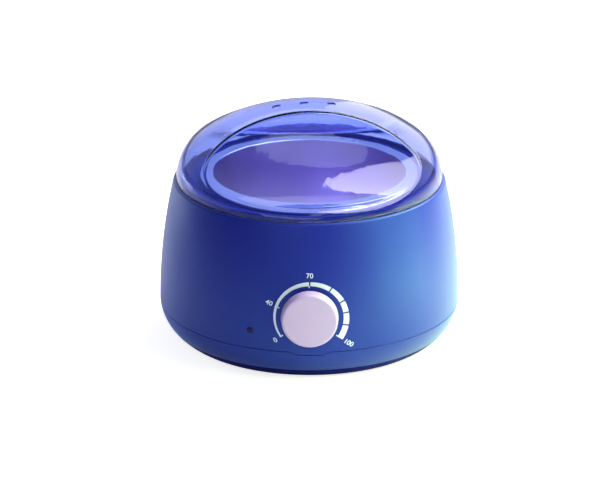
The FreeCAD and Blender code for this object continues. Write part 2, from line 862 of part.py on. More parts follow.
def make_lamp_holder():
    """Plug that closes the lamp's boss and carries the lamp."""
    boss_end = wall_radius(indicator_height, wall) - lamp_boss_length
    lamp_end = wall_radius(indicator_height, wall) - wall / 2.0 - running_gap - lamp_length
    plug = radial_rod(lens_flange_radius, boss_end, lamp_end - boss_end)
    cap = radial_rod(lamp_boss_radius, boss_end - wall, wall)
    return add(cap, [plug])


def make_cord_gland():
    """Bushing with a square neck held in the parting line at the back, a short collar and the cord's bore."""
    outer_face = wall_radius(parting) + running_gap
    inner_face = wall_radius(parting, wall) - running_gap
    neck_centre = V(0, (outer_face + inner_face) / 2.0, parting)
    neck = block(gland_neck_width, outer_face - inner_face, gland_neck_width, neck_centre)
    outside = rod(gland_flange_radius, V(0, outer_face, parting), Y_AXIS, gland_flange_thickness)
    inside = rod(gland_flange_radius, V(0, inner_face, parting), -Y_AXIS, gland_flange_thickness)
    collar_start = V(0, outer_face + gland_flange_thickness, parting)
    collar = Part.makeCone(gland_collar_radius, gland_collar_radius - gland_collar_taper,
                           gland_collar_length, collar_start, Y_AXIS)
    bore = rod(gland_bore_radius, V(0, 0, parting), Y_AXIS, 2 * body_radius)
    return add(neck, [outside, inside, collar]).cut(bore)


def make_terminal_block():
    """Terminal block on the base plate, with one wire way and one screw well per pole."""
    centre = V(0, terminal_setback, plate_floor + terminal_height / 2.0)
    body = block(terminal_width, terminal_depth, terminal_height, centre)
    taken = []
    for index in range(terminal_ways):
        place = terminal_pitch * (index - (terminal_ways - 1) / 2.0)
        way = V(place, terminal_setback - terminal_depth, centre.z - terminal_wire_drop)
        taken.append(rod(terminal_wire_radius, way, Y_AXIS, 2 * terminal_depth))
        well = V(place, terminal_setback, centre.z)
        taken.append(rod(terminal_screw_radius, well, Z_AXIS, terminal_height))
    return cut(body, taken)


def make_thermal_fuse():
    """One-shot thermal fuse under the well's floor."""
    start = V(-fuse_length / 2.0, fuse_setback, well_under - fuse_radius - seat_gap)
    return rod(fuse_radius, start, X_AXIS, fuse_length)


def make_fuse_clip():
    """Strap that holds the fuse up against the well's floor."""
    axis = well_under - fuse_radius - seat_gap
    inner = fuse_radius + seat_gap
    outer = inner + clip_thickness
    start = V(-clip_width / 2.0, fuse_setback, axis)
    strap = rod(outer, start, X_AXIS, clip_width)
    strap = strap.fuse(block(clip_width, 2 * outer, well_under - axis,
                             V(0, fuse_setback, (well_under + axis) / 2.0)))
    foot = block(clip_width, 2 * (outer + clip_foot), clip_thickness,
                 V(0, fuse_setback, well_under - clip_thickness / 2.0))
    strap = strap.fuse(foot)
    hollow = rod(inner, start, X_AXIS, clip_width)
    hollow = hollow.fuse(block(clip_width, 2 * inner, 2 * inner, V(0, fuse_setback, axis + inner)))
    above = block(2 * clip_width, 4 * (outer + clip_foot), 4 * outer,
                  V(0, fuse_setback, well_under + 2 * outer))
    return strap.removeSplitter().cut([hollow, above])


PIECES = {
    "outer_housing": make_outer_housing,
    "lower_ring": make_lower_ring,
    "base_plate": make_base_plate,
    "rubber_feet": make_rubber_feet,
    "base_screws": make_base_screws,
    "heating_well": make_heating_well,
    "well_retaining_ring": make_well_retaining_ring,
    "well_screws": make_well_screws,
    "band_heater": make_band_heater,
    "clamp_screw": make_clamp_screw,
    "heater_insulation": make_heater_insulation,
    "wax_pot": make_wax_pot,
    "lid": make_lid,
    "control_knob": make_control_knob,
    "knob_spring": make_knob_spring,
    "thermostat_shaft": make_thermostat_shaft,
    "thermostat_body": make_thermostat_body,
    "thermostat_nut": make_thermostat_nut,
    "thermostat_bracket": make_thermostat_bracket,
    "bracket_screws": make_bracket_screws,
    "indicator_lens": make_indicator_lens,
    "indicator_lamp": make_indicator_lamp,
    "lamp_holder": make_lamp_holder,
    "cord_gland": make_cord_gland,
    "terminal_block": make_terminal_block,
    "thermal_fuse": make_thermal_fuse,
    "fuse_clip": make_fuse_clip,
}

os.makedirs("parts", exist_ok=True)
for name, make in PIECES.items():
    shape = make()
    shape.exportStep(os.path.join("parts", name + ".step"))
    print(name, "solids", len(shape.Solids), "valid", shape.isValid(), "volume", round(shape.Volume, 1))
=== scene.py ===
"""Looks of a table-top wax heater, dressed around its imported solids.

Sizes are in millimetres and become metres where a mesh is made. +Z is up, the knob faces -Y,
and the origin is the centre of the plane that the feet stand on.
"""

import json
import logging
import math
from dataclasses import dataclass, field
from enum import Enum

import bmesh
import bpy
import numpy as np
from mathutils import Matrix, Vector


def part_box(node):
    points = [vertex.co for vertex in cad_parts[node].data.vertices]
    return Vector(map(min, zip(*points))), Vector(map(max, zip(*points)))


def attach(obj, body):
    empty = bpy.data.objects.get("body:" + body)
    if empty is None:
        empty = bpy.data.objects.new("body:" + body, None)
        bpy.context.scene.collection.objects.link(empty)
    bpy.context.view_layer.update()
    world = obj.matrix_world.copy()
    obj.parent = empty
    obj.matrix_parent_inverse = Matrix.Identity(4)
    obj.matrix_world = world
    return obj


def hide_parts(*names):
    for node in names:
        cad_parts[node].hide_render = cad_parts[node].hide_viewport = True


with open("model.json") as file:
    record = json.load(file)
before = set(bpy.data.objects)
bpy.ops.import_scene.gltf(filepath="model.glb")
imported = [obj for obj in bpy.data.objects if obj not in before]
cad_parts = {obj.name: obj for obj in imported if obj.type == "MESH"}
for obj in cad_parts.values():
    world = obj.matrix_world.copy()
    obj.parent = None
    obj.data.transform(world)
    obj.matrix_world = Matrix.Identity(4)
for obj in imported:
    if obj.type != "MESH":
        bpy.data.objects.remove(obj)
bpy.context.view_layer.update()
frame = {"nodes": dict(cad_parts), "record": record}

Array = np.ndarray
Socket = bpy.types.NodeSocket
log = logging.getLogger("wax_heater")

MM = 0.001
TURN = 2.0 * math.pi
# Points closer than this, in metres, become one point
MERGE_DISTANCE = 2e-7
# Edges that bend more than this stay sharp
SHARP_ANGLE = math.radians(32.0)
# Distance of the support points from the ends of a round, as a share of its radius
SUPPORT_SHARE = 0.25
# Size of the slow changes of tone, and the share by which the grain varies a roughness
CLOUD_MM = 35.0
ROUGHNESS_SPREAD = 0.15


def low(node: str) -> list[float]:
    """Lowest corner of a CAD node in millimetres."""
    return [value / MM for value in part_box(node)[0]]


def high(node: str) -> list[float]:
    """Highest corner of a CAD node in millimetres."""
    return [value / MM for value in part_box(node)[1]]


def linear(hex_colour: str) -> tuple[float, float, float, float]:
    """Turns an sRGB colour to a linear one.

    Args:
        hex_colour: sRGB hex value such as "#2030a0".

    Returns:
        Linear red, green and blue, with full alpha.
    """
    channels = np.array([int(hex_colour[i:i + 2], 16) for i in (1, 3, 5)]) / 255.0
    curved = ((channels + 0.055) / 1.055) ** 2.4
    red, green, blue = np.where(channels <= 0.04045, channels / 12.92, curved).tolist()
    return red, green, blue, 1.0


def add(tree: bpy.types.NodeTree, kind: str, sockets: dict | None = None, **settings) -> bpy.types.Node:
    """Adds one node to a tree.

    Args:
        tree: the tree that gets the node.
        kind: the node's class name.
        sockets: input name or number, with the constant or the output socket that feeds it.
        settings: properties of the node itself.

    Returns:
        The new node.
    """
    made = tree.nodes.new(kind)
    for name, value in settings.items():
        setattr(made, name, value)
    for name, value in (sockets or {}).items():
        if isinstance(value, Socket):
            tree.links.new(value, made.inputs[name])
        else:
            made.inputs[name].default_value = value
    return made


class Grain(Enum):
    """How the fine relief of a finish runs."""

    MOULDED = "an even spark-eroded grain"
    POLISHED = "a faint slow waviness"
    SPUN = "rings about the Z axis"
    FELTED = "short tangled fibres"


@dataclass(frozen=True)
class Finish:
    """One surface finish, named for what the real material is and how its surface was made.

    Args:
        slot: the record's material slot.
        title: the material's common name and how it was made.
        colour: sRGB hex of the surface.
        roughness: typical roughness, which the grain varies a little.
        grain: how the fine relief runs.
        grain_mm: width of one grain or ring in millimetres.
        grain_depth: strength of the relief, from 0 to 1.
        tone: share by which the colour wanders over a few centimetres.
        constants: further constant inputs of the shader.
        dye: sRGB hex that a clear material turns what lies behind it towards, or nothing.
        dye_density: absorption by the dye per metre.
    """

    slot: str
    title: str
    colour: str
    roughness: float
    grain: Grain = Grain.MOULDED
    grain_mm: float = 0.6
    grain_depth: float = 0.06
    tone: float = 0.06
    constants: tuple[tuple[str, object], ...] = ()
    dye: str = ""
    dye_density: float = 0.0

    def place(self, tree: bpy.types.NodeTree) -> Socket:
        """Coordinates that the grain is drawn in: for rings, the distance to the Z axis and the height.

        Args:
            tree: the material's tree.

        Returns:
            The output socket of the coordinates.
        """
        spot = add(tree, "ShaderNodeTexCoord").outputs["Object"]
        if self.grain is not Grain.SPUN:
            return spot
        flat = add(tree, "ShaderNodeVectorMath", {0: spot, 1: (1.0, 1.0, 0.0)}, operation="MULTIPLY")
        radius = add(tree, "ShaderNodeVectorMath", {0: flat.outputs[0]}, operation="LENGTH")
        height = add(tree, "ShaderNodeSeparateXYZ", {0: spot}).outputs[2]
        return add(tree, "ShaderNodeCombineXYZ", {0: radius.outputs["Value"], 2: height}).outputs[0]

    def build(self) -> bpy.types.Material:
        """Makes the material: noise drives its colour, roughness and relief at the grain's real size.

        Returns:
            The new material, named for the finish.
        """
        material = bpy.data.materials.new(self.title.replace(" ", "_"))
        material.use_nodes = True
        tree = material.node_tree
        shader = tree.nodes["Principled BSDF"]
        spot = add(tree, "ShaderNodeTexCoord").outputs["Object"]
        cloud = add(tree, "ShaderNodeTexNoise", {
            "Vector": spot, "Scale": 1.0 / (CLOUD_MM * MM), "Detail": 3.0})
        fine = add(tree, "ShaderNodeTexNoise", {
            "Vector": self.place(tree), "Scale": 1.0 / (self.grain_mm * MM), "Detail": 2.0})
        base = np.array(linear(self.colour)[:3])
        tones = [tuple(np.clip(base * (1.0 + side * self.tone), 0.0, 1.0)) + (1.0,) for side in (-1, 1)]
        tint = add(tree, "ShaderNodeMix", {0: cloud.outputs[0], 6: tones[0], 7: tones[1]}, data_type="RGBA")
        spread = add(tree, "ShaderNodeMapRange", {
            0: fine.outputs[0], 3: self.roughness * (1.0 - ROUGHNESS_SPREAD),
            4: min(self.roughness * (1.0 + ROUGHNESS_SPREAD), 1.0)})
        bump = add(tree, "ShaderNodeBump", {
            "Height": fine.outputs[0], "Strength": self.grain_depth, "Distance": self.grain_mm * MM})
        tree.links.new(tint.outputs[2], shader.inputs["Base Color"])
        tree.links.new(spread.outputs[0], shader.inputs["Roughness"])
        tree.links.new(bump.outputs[0], shader.inputs["Normal"])
        for name, value in self.constants:
            shader.inputs[name].default_value = value
        if self.dye:
            inside = add(tree, "ShaderNodeVolumeAbsorption", {0: linear(self.dye), 1: self.dye_density})
            tree.links.new(inside.outputs[0], tree.nodes["Material Output"].inputs["Volume"])
        return material


# Constants that several finishes share
ABS = ("IOR", 1.54)
METAL = (("Metallic", 1.0),)
CLEAR = (("Transmission Weight", 1.0), ("IOR", 1.5))

# Moulded ABS in a deep blue whose gloss is tinted sky blue by its pearl pigment
BLUE_SHELL = Finish("blue_shell", "pearl blue moulded ABS", "#15108e", 0.36, grain_mm=0.9, grain_depth=0.03,
                    constants=(ABS, ("Specular IOR Level", 0.44), ("Specular Tint", linear("#a0e2ff")),
                               ("Sheen Weight", 0.3), ("Sheen Roughness", 0.5),
                               ("Sheen Tint", linear("#7cc0ff"))))
# The same plastic without pearl, duller, for the bottom: navy, darkened further as painted shade for the
# shade where the body meets the table
NAVY_BASE_SHADED = Finish("navy_base", "navy moulded ABS with painted shade", "#01026a", 0.55, grain_mm=0.9, grain_depth=0.08,
                   constants=(ABS, ("Specular IOR Level", 0.05)))
# Clear styrene with a blue dye, polished in the mould: it tints what lies behind it
LID_CLEAR = Finish("lid_clear_blue", "clear blue polished styrene", "#ffffff", 0.03, grain=Grain.POLISHED,
                   grain_mm=14.0, grain_depth=0.01, tone=0.0, constants=CLEAR, dye="#398ef9",
                   dye_density=340.0)
# Pale lilac ABS with a fine grain, which keeps its highlights broad and soft
KNOB_PLASTIC = Finish("knob_plastic", "pale lilac moulded ABS", "#b49cdd", 0.38, grain_mm=0.5,
                      grain_depth=0.05, constants=(ABS,))
# Screen-printed ink, a thin satin film
DIAL_INK = Finish("knob_plastic", "pale screen printed ink", "#ced2f6", 0.45, grain_mm=0.3, grain_depth=0.1)
# Dark lens that hides the lamp while it is off
LENS = Finish("indicator_lens", "dark polished acrylic", "#0c0a4c", 0.2, grain=Grain.POLISHED, grain_mm=3.0,
              grain_depth=0.02, constants=(("IOR", 1.49), ("Specular IOR Level", 0.2)))
# Spun aluminium: the tool leaves fine rings
POT_METAL = Finish("pot_aluminium", "spun aluminium", "#e7ceee", 0.4, grain=Grain.SPUN, grain_mm=0.8,
                   grain_depth=0.08, tone=0.03, constants=METAL)
# The same metal where the flange was trimmed and buffed
RIM_METAL = Finish("pot_aluminium", "buffed aluminium rim", "#e6e2ec", 0.24, grain=Grain.SPUN, grain_mm=0.8,
                   grain_depth=0.05, tone=0.03, constants=METAL)
# Drawn aluminium: wider and deeper rings than the spun metal has
WELL_METAL = Finish("well_aluminium", "drawn aluminium", "#c8c6cc", 0.36, grain=Grain.SPUN, grain_mm=1.1,
                    grain_depth=0.12, tone=0.05, constants=METAL)
# Zinc on sheet steel: a grey shine that is a little blotched
PLATED_STEEL = Finish("plated_steel", "zinc plated steel sheet", "#b9babd", 0.34, grain_mm=1.4,
                      grain_depth=0.1, tone=0.12, constants=METAL)
# Zinc on small screws: brighter and more even
FASTENERS = Finish("steel_fasteners", "zinc plated steel screws", "#bcbdc2", 0.3, grain_mm=0.4,
                   grain_depth=0.1, constants=METAL)
# Stainless sheet that heat has browned in soft patches
HEATER_JACKET = Finish("heater_jacket", "stainless heater jacket", "#a39d93", 0.42, grain_mm=1.0,
                       grain_depth=0.12, tone=0.15, constants=METAL)
# Turned brass: warm yellow and bright
BRASS = Finish("brass_shaft", "turned brass", "#caa45c", 0.28, grain_mm=0.4, grain_depth=0.08,
               constants=METAL)
# Black rubber: dull, with a deep mould grain
RUBBER = Finish("foot_rubber", "moulded black rubber", "#1d1d20", 0.75, grain_mm=0.5, grain_depth=0.25,
                tone=0.2)
# Mineral fibre: a matt, pale felt
FIBRE = Finish("mineral_fibre", "felted mineral fibre", "#cfc8b6", 0.95, grain=Grain.FELTED, grain_mm=0.7,
               grain_depth=0.8, tone=0.15)
# Fired steatite: pale and dry, with a fine grain
CERAMIC = Finish("thermostat_ceramic", "fired steatite ceramic", "#d8d2c4", 0.55, grain_mm=0.4,
                 grain_depth=0.15)
# Clear glass with a faint warm tint
GLASS = Finish("lamp_glass", "clear lamp glass", "#f4dccb", 0.05, grain=Grain.POLISHED, grain_mm=4.0,
               grain_depth=0.02, tone=0.0, constants=CLEAR)
# Cream polyamide, half matt from the mould
INNER_PLASTIC = Finish("inner_plastic", "cream moulded polyamide", "#dcd6c6", 0.5, grain_mm=0.5,
                       grain_depth=0.1)
# One finish for each material slot of the record
FINISHES = (BLUE_SHELL, NAVY_BASE_SHADED, LID_CLEAR, KNOB_PLASTIC, LENS, POT_METAL, WELL_METAL, PLATED_STEEL,
            FASTENERS, HEATER_JACKET, BRASS, RUBBER, FIBRE, CERAMIC, GLASS, INNER_PLASTIC)


@dataclass
class Patchwork:
    """Grids of points, in millimetres, that are joined into one mesh."""

    points: list[Array] = field(default_factory=list)
    quads: list[Array] = field(default_factory=list)
    count: int = 0

    def lay(self, grid: Array, closed_rows: bool = False, closed_columns: bool = False) -> None:
        """Adds a grid of points and the quads between its neighbours.

        Args:
            grid: rows by columns by 3 coordinates.
            closed_rows: joins the last row to the first.
            closed_columns: joins the last column to the first.
        """
        rows, columns = grid.shape[:2]
        index = np.arange(rows * columns).reshape(rows, columns) + self.count
        if closed_rows:
            index = np.vstack([index, index[:1]])
        if closed_columns:
            index = np.hstack([index, index[:, :1]])
        corners = (index[:-1, :-1], index[:-1, 1:], index[1:, 1:], index[1:, :-1])
        self.points.append(grid.reshape(-1, 3))
        self.quads.append(np.stack(corners, axis=-1).reshape(-1, 4))
        self.count += rows * columns

    def sew(self, name: str) -> bpy.types.Object:
        """Makes the object: doubles merged, faces outwards, smooth with sharp edges kept.

        Args:
            name: the new object's name.

        Returns:
            The object, linked to the scene.
        """
        points = np.concatenate(self.points) * MM
        quads = np.concatenate(self.quads)
        mesh = bpy.data.meshes.new(name)
        mesh.vertices.add(len(points))
        mesh.vertices.foreach_set("co", points.astype(np.float32).ravel())
        mesh.loops.add(quads.size)
        mesh.loops.foreach_set("vertex_index", quads.astype(np.int32).ravel())
        mesh.polygons.add(len(quads))
        mesh.polygons.foreach_set("loop_start", np.arange(0, quads.size, 4, dtype=np.int32))
        mesh.update(calc_edges=True)
        return link(name, tidy(mesh))


def tidy(mesh: bpy.types.Mesh) -> bpy.types.Mesh:
    """Merges doubles, turns faces outwards and shades smooth between sharp edges.

    Args:
        mesh: the mesh to work on.

    Returns:
        The same mesh.
    """
    work = bmesh.new()
    work.from_mesh(mesh)
    bmesh.ops.remove_doubles(work, verts=work.verts, dist=MERGE_DISTANCE)
    bmesh.ops.dissolve_degenerate(work, edges=work.edges, dist=MERGE_DISTANCE)
    bmesh.ops.recalc_face_normals(work, faces=work.faces)
    work.to_mesh(mesh)
    work.free()
    mesh.polygons.foreach_set("use_smooth", np.ones(len(mesh.polygons), dtype=bool))
    mesh.set_sharp_from_angle(angle=SHARP_ANGLE)
    return mesh


def link(name: str, data: bpy.types.ID) -> bpy.types.Object:
    """Makes an object at the origin of the scene.

    Args:
        name: its name.
        data: its mesh, curve, lamp or camera.

    Returns:
        The object, linked to the scene.
    """
    made = bpy.data.objects.new(name, data)
    bpy.context.scene.collection.objects.link(made)
    return made


def dress(piece: bpy.types.Object, finish: Finish, body: str, *nodes: str) -> bpy.types.Object:
    """Gives a piece its finish, its body and the CAD nodes that it stands for.

    Args:
        piece: the piece in its place.
        finish: its surface.
        body: the CAD body that it moves with.
        nodes: CAD nodes that it replaces.

    Returns:
        The same piece.
    """
    piece.data.materials.clear()
    piece.data.materials.append(MATERIALS[finish.title])
    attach(piece, body)
    if nodes:
        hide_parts(*nodes)
    log.info("%s: %s, %d faces", piece.name, finish.title, len(piece.data.polygons))
    return piece


def smooth_copy(node: str, name: str) -> bpy.types.Object:
    """Merged and smoothly shaded copy of a CAD node's mesh."""
    return link(name, tidy(frame["nodes"][node].data.copy()))


def woven(name: str, grid: Array, closed_rows: bool = False, closed_columns: bool = True) -> bpy.types.Object:
    """Makes an object of one grid of points.

    Args:
        name: its name.
        grid: rows by columns by 3 coordinates.
        closed_rows: joins the last row to the first.
        closed_columns: joins the last column to the first.

    Returns:
        The object, linked to the scene.
    """
    work = Patchwork()
    work.lay(grid, closed_rows, closed_columns)
    return work.sew(name)


def swung(first: Array, last: Array, sweep: Array | float, steps: int) -> Array:
    """Vectors swung evenly from one to another: (sin((1 - t) w) first + sin(t w) last) / sin w.

    Args:
        first: vectors at t = 0.
        last: vectors at t = 1.
        sweep: angle w between them.
        steps: steps of t from 0 to 1.

    Returns:
        One row of vectors for each t.
    """
    share = np.linspace(0.0, 1.0, steps + 1).reshape((-1,) + (1,) * first.ndim)
    return (np.sin((1.0 - share) * sweep) * first + np.sin(share * sweep) * last) / np.sin(sweep)


def rounded(corners: list[tuple[float, float, float]], steps: int = 6) -> Array:
    """Outline with rounded corners: each round is a tangent arc with a support point beyond either end.

    Args:
        corners: (radius, height, round) of the outline's corners in order, with 0 for a sharp one.
        steps: segments of each arc.

    Returns:
        Points of the outline, one row each.
    """
    spots = np.array([corner[:2] for corner in corners])
    pieces = []
    for index, (_, _, rounding) in enumerate(corners):
        corner = spots[index]
        if rounding <= 0.0:
            pieces.append(corner[None])
            continue
        before = spots[index - 1] - corner
        after = spots[(index + 1) % len(spots)] - corner
        before = before / np.linalg.norm(before)
        after = after / np.linalg.norm(after)
        half = math.acos(float(np.clip(before @ after, -1.0, 1.0))) / 2.0
        reach = rounding / math.tan(half)
        inward = (before + after) / np.linalg.norm(before + after)
        centre = corner + inward * rounding / math.sin(half)
        first = corner + before * reach - centre
        last = corner + after * reach - centre
        arc = swung(first, last, math.pi - 2.0 * half, steps)
        support = SUPPORT_SHARE * rounding
        pieces.append((corner + before * (reach + support))[None])
        pieces.append(centre + arc)
        pieces.append((corner + after * (reach + support))[None])
    return np.concatenate(pieces)


def turned(profile: Array, steps: int = 192) -> Array:
    """Profile turned about Z: x = r cos a, y = r sin a, z = h.

    Args:
        profile: (radius, height) points.
        steps: columns of the whole turn.

    Returns:
        Grid of points, one row for each point of the profile.
    """
    angle = np.linspace(0.0, TURN, steps, endpoint=False)[None]
    radius = profile[:, :1]
    height = profile[:, 1:] + 0.0 * angle
    return np.stack([radius * np.cos(angle), radius * np.sin(angle), height], axis=-1)


@dataclass
class Shell:
    """The two-part housing: an upper barrel with the deck, a lower bowl and the bottom, dark navy with
    painted shade.

    The wall bulges from the deck to the parting line and draws in from there to the foot. A tab in
    the parting line dips under the knob. The counts are rows and columns of the grids.
    """

    wall: float = 2.4
    lip_height: float = 3.0
    lip_thickness: float = 1.2
    lip_clearance: float = 0.15
    shoulder_round: float = 1.5
    bulge: float = 9.0
    draw_in: float = 13.0
    lean: float = 3.0
    parting_gap: float = 0.25
    edge_round: float = 0.2
    tab_depth: float = 2.0
    tab_half_top: float = 12.0
    tab_half_bottom: float = 7.5
    tab_margin: float = 1.0
    tab_fade: float = 14.0
    ring_height: float = 2.5
    ring_width: float = 2.0
    ring_inset: float = 2.9
    pot_lip_width: float = 5.0
    pot_lip_height: float = 1.8
    root_round: float = 0.25
    tip_round: float = 0.4
    deck_opening: float = 61.5
    floor_opening: float = 59.5
    columns: int = 240
    tab_columns: int = 53
    edge_rows: int = 6
    barrel_rows: int = 60
    barrel_bias: float = 1.6
    barrel_inner_rows: int = 16
    shoulder_rows: int = 10
    deck_steps: int = 4
    bowl_rows: int = 24
    bowl_inner_rows: int = 10

    def __post_init__(self) -> None:
        """Reads the main heights and radii from the frame and works out the wall's two arcs."""
        self.widest = high("outer_housing")[0]
        self.plate_top = high("base_plate")[2]
        self.parting = high("lower_ring")[2] - self.lip_height
        self.deck = low("lid")[2]
        self.lid_radius = high("lid")[0]
        rise = self.deck - self.parting
        drop = self.parting - low("base_plate")[2]
        self.upper_curve = (self.bulge ** 2 + rise ** 2) / (2.0 * self.bulge)
        self.lower_reach = (self.draw_in ** 2 + drop ** 2 + 2.0 * drop * self.lean) / (2.0 * self.draw_in)
        self.lower_curve = math.hypot(self.lower_reach, self.lean)

    def radius(self, height: Array | float, inset: float = 0.0) -> Array:
        """Radius of the wall at a height: one arc above the parting line, one below.

        The upper arc starts upright. The lower arc's centre lies a lean above the parting line.

        Args:
            height: the height, or an array of them.
            inset: how far the wall's face lies inside the outer one.

        Returns:
            The radius at each height.
        """
        rise = np.asarray(height, dtype=float) - self.parting
        above = (self.upper_curve - inset) ** 2 - rise ** 2
        below = (self.lower_curve - inset) ** 2 - (self.lean - rise) ** 2
        upper = np.sqrt(np.maximum(above, 0.0)) - self.upper_curve
        lower = np.sqrt(np.maximum(below, 0.0)) - self.lower_reach
        return self.widest + np.where(rise >= 0.0, upper, lower)

    def section(self, height: Array, inset: float = 0.0) -> Array:
        """Rows of (radius, height) points of the wall."""
        return np.stack([self.radius(height, inset), height], axis=-1)

    def dip(self, angle: Array) -> Array:
        """Depth of the tab in the parting line under the knob: a trapezium about the front.

        Args:
            angle: angles about Z.

        Returns:
            The depth at each angle.
        """
        across = self.widest * np.cos(angle)
        slope = (self.tab_half_top - np.abs(across)) / (self.tab_half_top - self.tab_half_bottom)
        return np.where(np.sin(angle) < 0.0, self.tab_depth * np.clip(slope, 0.0, 1.0), 0.0)

    def on_wall(self, across: Array, height: Array, lift: float) -> Array:
        """Points on the front wall at a place across and a height, lifted off it along the radius."""
        radius = self.radius(height) + lift
        return np.stack([across, -np.sqrt(radius ** 2 - across ** 2), height], axis=-1)

    def angles(self) -> Array:
        """Finds the angles of the wall's columns, closer together where the tab's slopes are.

        Returns:
            The angles in order.
        """
        even = np.linspace(0.0, TURN, self.columns, endpoint=False)
        reach = self.tab_half_top + self.tab_margin
        front = 1.5 * math.pi + np.arcsin(np.linspace(-reach, reach, self.tab_columns) / self.widest)
        return np.unique(np.concatenate([even, front]))

    def edge(self, start: float, end: float, at: float, side: float) -> Array:
        """Quarter round of a shell's edge, between the outer wall and the parting face.

        Args:
            start: first angle of the round.
            end: last angle of the round.
            at: height at which the round leaves the outer wall.
            side: 1 for an edge at the top of a shell, -1 for one at the bottom.

        Returns:
            Rows of (radius, height) points.
        """
        turn = np.linspace(start, end, self.edge_rows)
        radius = self.radius(at) - self.edge_round + self.edge_round * np.cos(turn)
        return np.stack([radius, at + side * self.edge_round * np.sin(turn)], axis=-1)

    def mould(self, name: str, node: str, outline: Array, level: float, outer: int, sunk: int) -> None:
        """Turns a closed outline about Z, its first rows sinking with the tab under the knob.

        Args:
            name: the piece's name.
            node: the CAD node that it replaces.
            outline: (radius, height) points, those of the outer wall first.
            level: height of the parting edge, from which the sinking fades.
            outer: how many points lie on the outer wall and stay on it.
            sunk: how many points sink.
        """
        angle = self.angles()
        row = np.arange(len(outline))[:, None]
        share = np.clip(1.0 - np.abs(outline[:, 1:] - level) / self.tab_fade, 0.0, 1.0)
        height = outline[:, 1:] - np.where(row < sunk, share, 0.0) * self.dip(angle)
        moved = self.radius(height) - self.radius(outline[:, 1:])
        radius = outline[:, :1] + np.where(row < outer, moved, 0.0)
        grid = np.stack([radius * np.cos(angle), radius * np.sin(angle), height], axis=-1)
        dress(woven(name, grid, closed_rows=True), BLUE_SHELL, "housing", node)

    def upper(self) -> None:
        """Upper barrel: wall, shoulder, deck with the lid's ring and the pot's lip, and the inner wall."""
        bottom = self.parting + self.parting_gap / 2.0
        wall_low = bottom + self.edge_round
        wall_high = self.deck - self.shoulder_round
        climb = np.linspace(0.0, 1.0, self.barrel_rows) ** self.barrel_bias
        barrel = self.section(wall_low + (wall_high - wall_low) * climb)
        lower_edge = self.edge(math.pi / 2.0, 0.0, wall_low, -1.0)[:-1]
        centre = float(self.radius(wall_high, self.shoulder_round))
        start = math.asin((wall_high - self.parting) / (self.upper_curve - self.shoulder_round))
        bend = np.linspace(start, math.pi / 2.0, self.shoulder_rows)[1:]
        shoulder = np.stack([centre + self.shoulder_round * np.cos(bend),
                             wall_high + self.shoulder_round * np.sin(bend)], axis=-1)
        ring = self.lid_radius - self.ring_inset
        ring_top = self.deck + self.ring_height
        lip = self.deck_opening + self.pot_lip_width
        lip_top = self.deck + self.pot_lip_height
        under = self.deck - self.wall
        deck = rounded([
            (centre, self.deck, 0.0),
            (ring, self.deck, self.root_round), (ring, ring_top, self.tip_round),
            (ring - self.ring_width, ring_top, self.tip_round),
            (ring - self.ring_width, self.deck, self.root_round),
            (lip, self.deck, self.root_round), (lip, lip_top, self.tip_round),
            (self.deck_opening, lip_top, self.tip_round), (self.deck_opening, under, 0.0),
            (float(self.radius(under, self.wall)), under, 0.0)], self.deck_steps)
        inside = self.section(np.linspace(under, bottom, self.barrel_inner_rows)[1:], self.wall)
        outline = np.concatenate([lower_edge, barrel, shoulder, deck, inside])
        outer = len(lower_edge) + len(barrel)
        self.mould("upper_shell", "outer_housing", outline, bottom, outer, outer)

    def lower(self) -> None:
        """Lower bowl: wall, parting edge with its face, locating lip, inner wall and the floor ring."""
        top = self.parting - self.parting_gap / 2.0
        wall_high = top - self.edge_round
        bowl = self.section(np.linspace(self.plate_top, wall_high, self.bowl_rows))
        upper_edge = self.edge(0.0, math.pi / 2.0, wall_high, 1.0)[1:]
        face = float(self.radius(top, self.wall + self.lip_clearance))
        lip = face - self.lip_thickness
        lip_top = self.parting + self.lip_height
        floor = self.plate_top + self.wall
        inside = self.section(np.linspace(top, floor, self.bowl_inner_rows), self.wall)
        inside[:, 0] = np.minimum(inside[:, 0], lip)
        locating = np.array([(face, top), (face, lip_top), (lip, lip_top)])
        ring = np.array([(self.floor_opening, floor), (self.floor_opening, self.plate_top)])
        outline = np.concatenate([bowl, upper_edge, locating, inside, ring])
        outer = len(bowl) + len(upper_edge)
        self.mould("lower_shell", "lower_ring", outline, top, outer, outer + 1)

    def underside(self) -> None:
        """Bottom in dark navy with painted shade, feet and cord bushing: the CAD shapes, smoothly shaded."""
        # The bottom plate's navy is darkened further as painted shade under the body
        dress(smooth_copy("base_plate", "bottom_plate"), NAVY_BASE_SHADED, "housing", "base_plate")
        dress(smooth_copy("rubber_feet", "feet"), RUBBER, "housing", "rubber_feet")
        dress(smooth_copy("cord_gland", "cord_bushing"), RUBBER, "housing", "cord_gland")

    def build(self) -> None:
        """Makes every visible piece of the housing."""
        self.upper()
        self.lower()
        self.underside()


